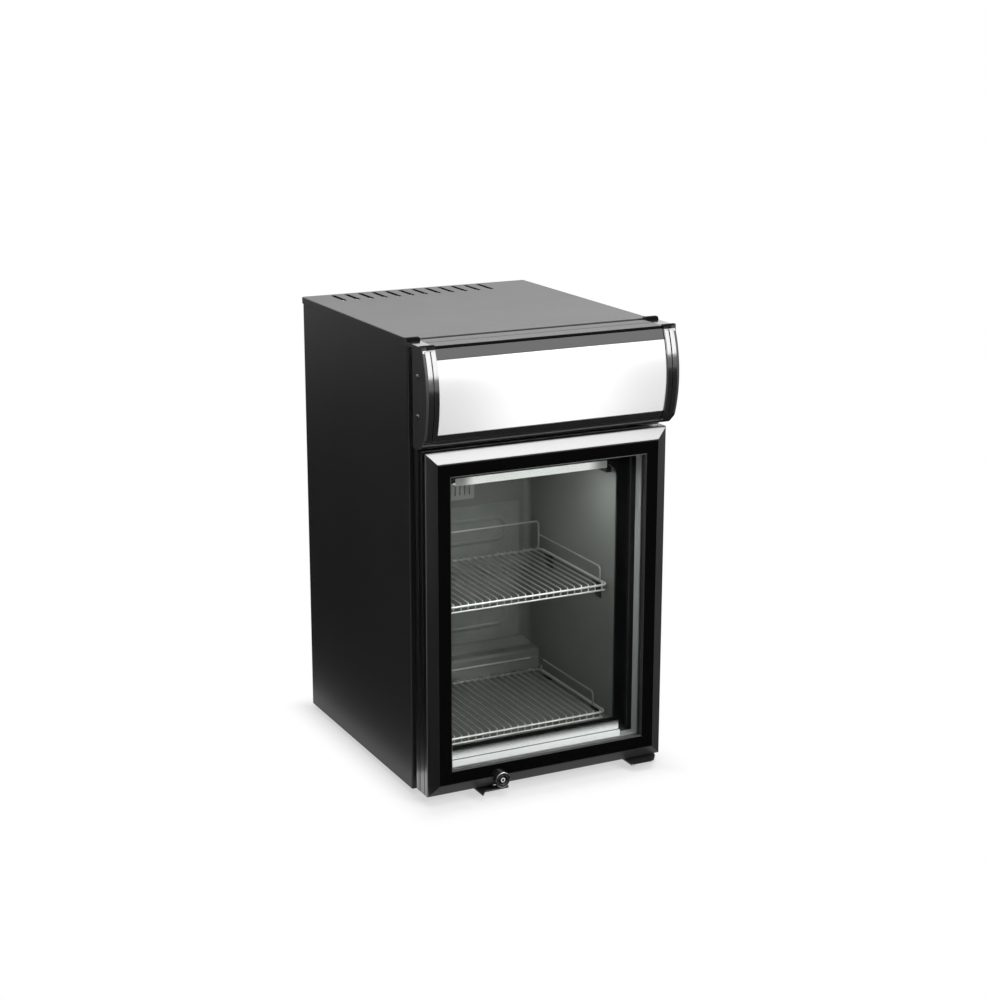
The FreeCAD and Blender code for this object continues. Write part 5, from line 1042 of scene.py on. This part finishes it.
def buildFloor():
    # pale where its shadow is, plain white a little way from the foot of the cabinet
    use = named({"size": 14, "tone": (0.9, 0.9, 0.9, 1), "halfFoot": (0.19, 0.235, 0.0), "near": -0.06, "far": 0.05})
    bm = bmesh.new()
    bmesh.ops.create_grid(bm, x_segments=1, y_segments=1, size=use.size / 2)
    floor = objectOf("floor", meshOf("floor", bm))
    finish, tree, shader = newMaterial("floor")
    feed(tree, shader.inputs, {"Base Color": use.tone, "Roughness": 0.8, "Specular IOR Level": 0})
    glow = addNode(tree, "Emission", {"Strength": 1})
    away = objectSpace(tree)
    for operation, value in (("ABSOLUTE", (0, 0, 0)), ("SUBTRACT", use.halfFoot), ("MAXIMUM", (0, 0, 0))):
        away = addNode(tree, "VectorMath", {0: away, 1: value}, operation=operation)[0]
    away = addNode(tree, "VectorMath", {0: away}, operation="LENGTH")["Value"]
    fade = smoothRange(tree, away, use.near, use.far)
    showMix(tree, reckon(tree, fade, ("MULTIPLY", seenRays(tree))), shader.outputs[0], glow[0])
    floor.data.materials.append(finish)


cards = {
    "cardFront": [(-0.6, -0.238, 0.004), (2.6, -0.238, 0.004), (6.0, -8.5, 0.004), (-4.0, -8.5, 0.004)],
    "cardLeft": [(-0.9, -0.4, 0.0), (-1.9, 4.2, 0.0), (-1.9, 4.2, 1.1), (-0.9, -0.4, 1.1)],
    "cardFloor": [(-0.225, -0.1, 0.004), (-0.225, 3.4, 0.004), (-3.0, 3.4, 0.004), (-3.0, -0.1, 0.004)],
    "cardRight": [(0.2, -0.238, 0.004), (2.6, -0.238, 0.004), (2.6, 1.2, 0.004), (0.2, 1.2, 0.004)],
}
lights = {
    "keySoftbox": {"spot": (1.2, -2.6, 1.62), "aim": (0.0, -0.2, 0.55), "size": 1.35, "radiance": 9},
    "overheadSoftbox": {"spot": (0.1, -0.3, 2.4), "aim": (0.0, 0.0, 0.3), "size": 2.2, "radiance": 2.2},
}


def buildCard(name, corners):
    # a black card that only reflections see: it paints dark reflections on glossy faces, and gives no light or shadow
    bm = bmesh.new()
    bm.faces.new([bm.verts.new(corner) for corner in corners])
    card = objectOf(name, meshOf(name, bm))
    finish, tree, shader = newMaterial(name)
    feed(tree, shader.inputs, {"Base Color": (0.004, 0.004, 0.004, 1), "Specular IOR Level": 0})
    reflected = reckon(tree, addNode(tree, "LightPath")["Glossy Depth"], ("GREATER_THAN", 0.5))
    showMix(tree, reflected, addNode(tree, "BsdfTransparent")[0], shader.outputs[0])
    card.data.materials.append(finish)
    card.visible_camera = card.visible_diffuse = card.visible_shadow = False


def buildLight(name, spot, aim, size, radiance):
    data = bpy.data.lights.new(name, "AREA")
    data.shape, data.size, data.size_y = "RECTANGLE", size, size
    data.energy = radiance * pi * size * size
    lamp = objectOf(name, data)
    lamp.location = spot
    lamp.rotation_euler = (Vector(aim) - Vector(spot)).to_track_quat("-Z", "Y").to_euler()


def buildWorld():
    use = named({"onObject": 0.25, "seen": 1})
    world = bpy.data.worlds.new("studio")
    world.use_nodes = True
    tree = world.node_tree
    strength = addNode(tree, "Mix", {0: seenRays(tree), 2: use.onObject, 3: use.seen}, data_type="FLOAT")[0]
    feed(tree, tree.nodes["Background"].inputs, {"Color": (1, 1, 1, 1), "Strength": strength})
    bpy.context.scene.world = world


def buildCamera():
    use = named({"spot": (-1.284489, -2.620197, 1.159904), "azimuth": 26.446, "tilt": 15.015, "lens": 72.558})
    data = bpy.data.cameras.new("camera")
    data.lens, data.sensor_width, data.clip_end = use.lens, 36, 50
    camera = objectOf("camera", data)
    turn, tilt = radians(use.azimuth), radians(use.tilt)
    view = Vector((sin(turn) * cos(tilt), cos(turn) * cos(tilt), -sin(tilt)))
    camera.location = use.spot
    camera.rotation_euler = view.to_track_quat("-Z", "Y").to_euler()
    bpy.context.scene.camera = camera


buildFloor()
for name, corners in cards.items():
    buildCard(name, corners)
for name, values in lights.items():
    buildLight(name, **values)
buildWorld()
buildCamera()
bpy.context.scene.view_settings.view_transform = "Standard"
print("stage ready")
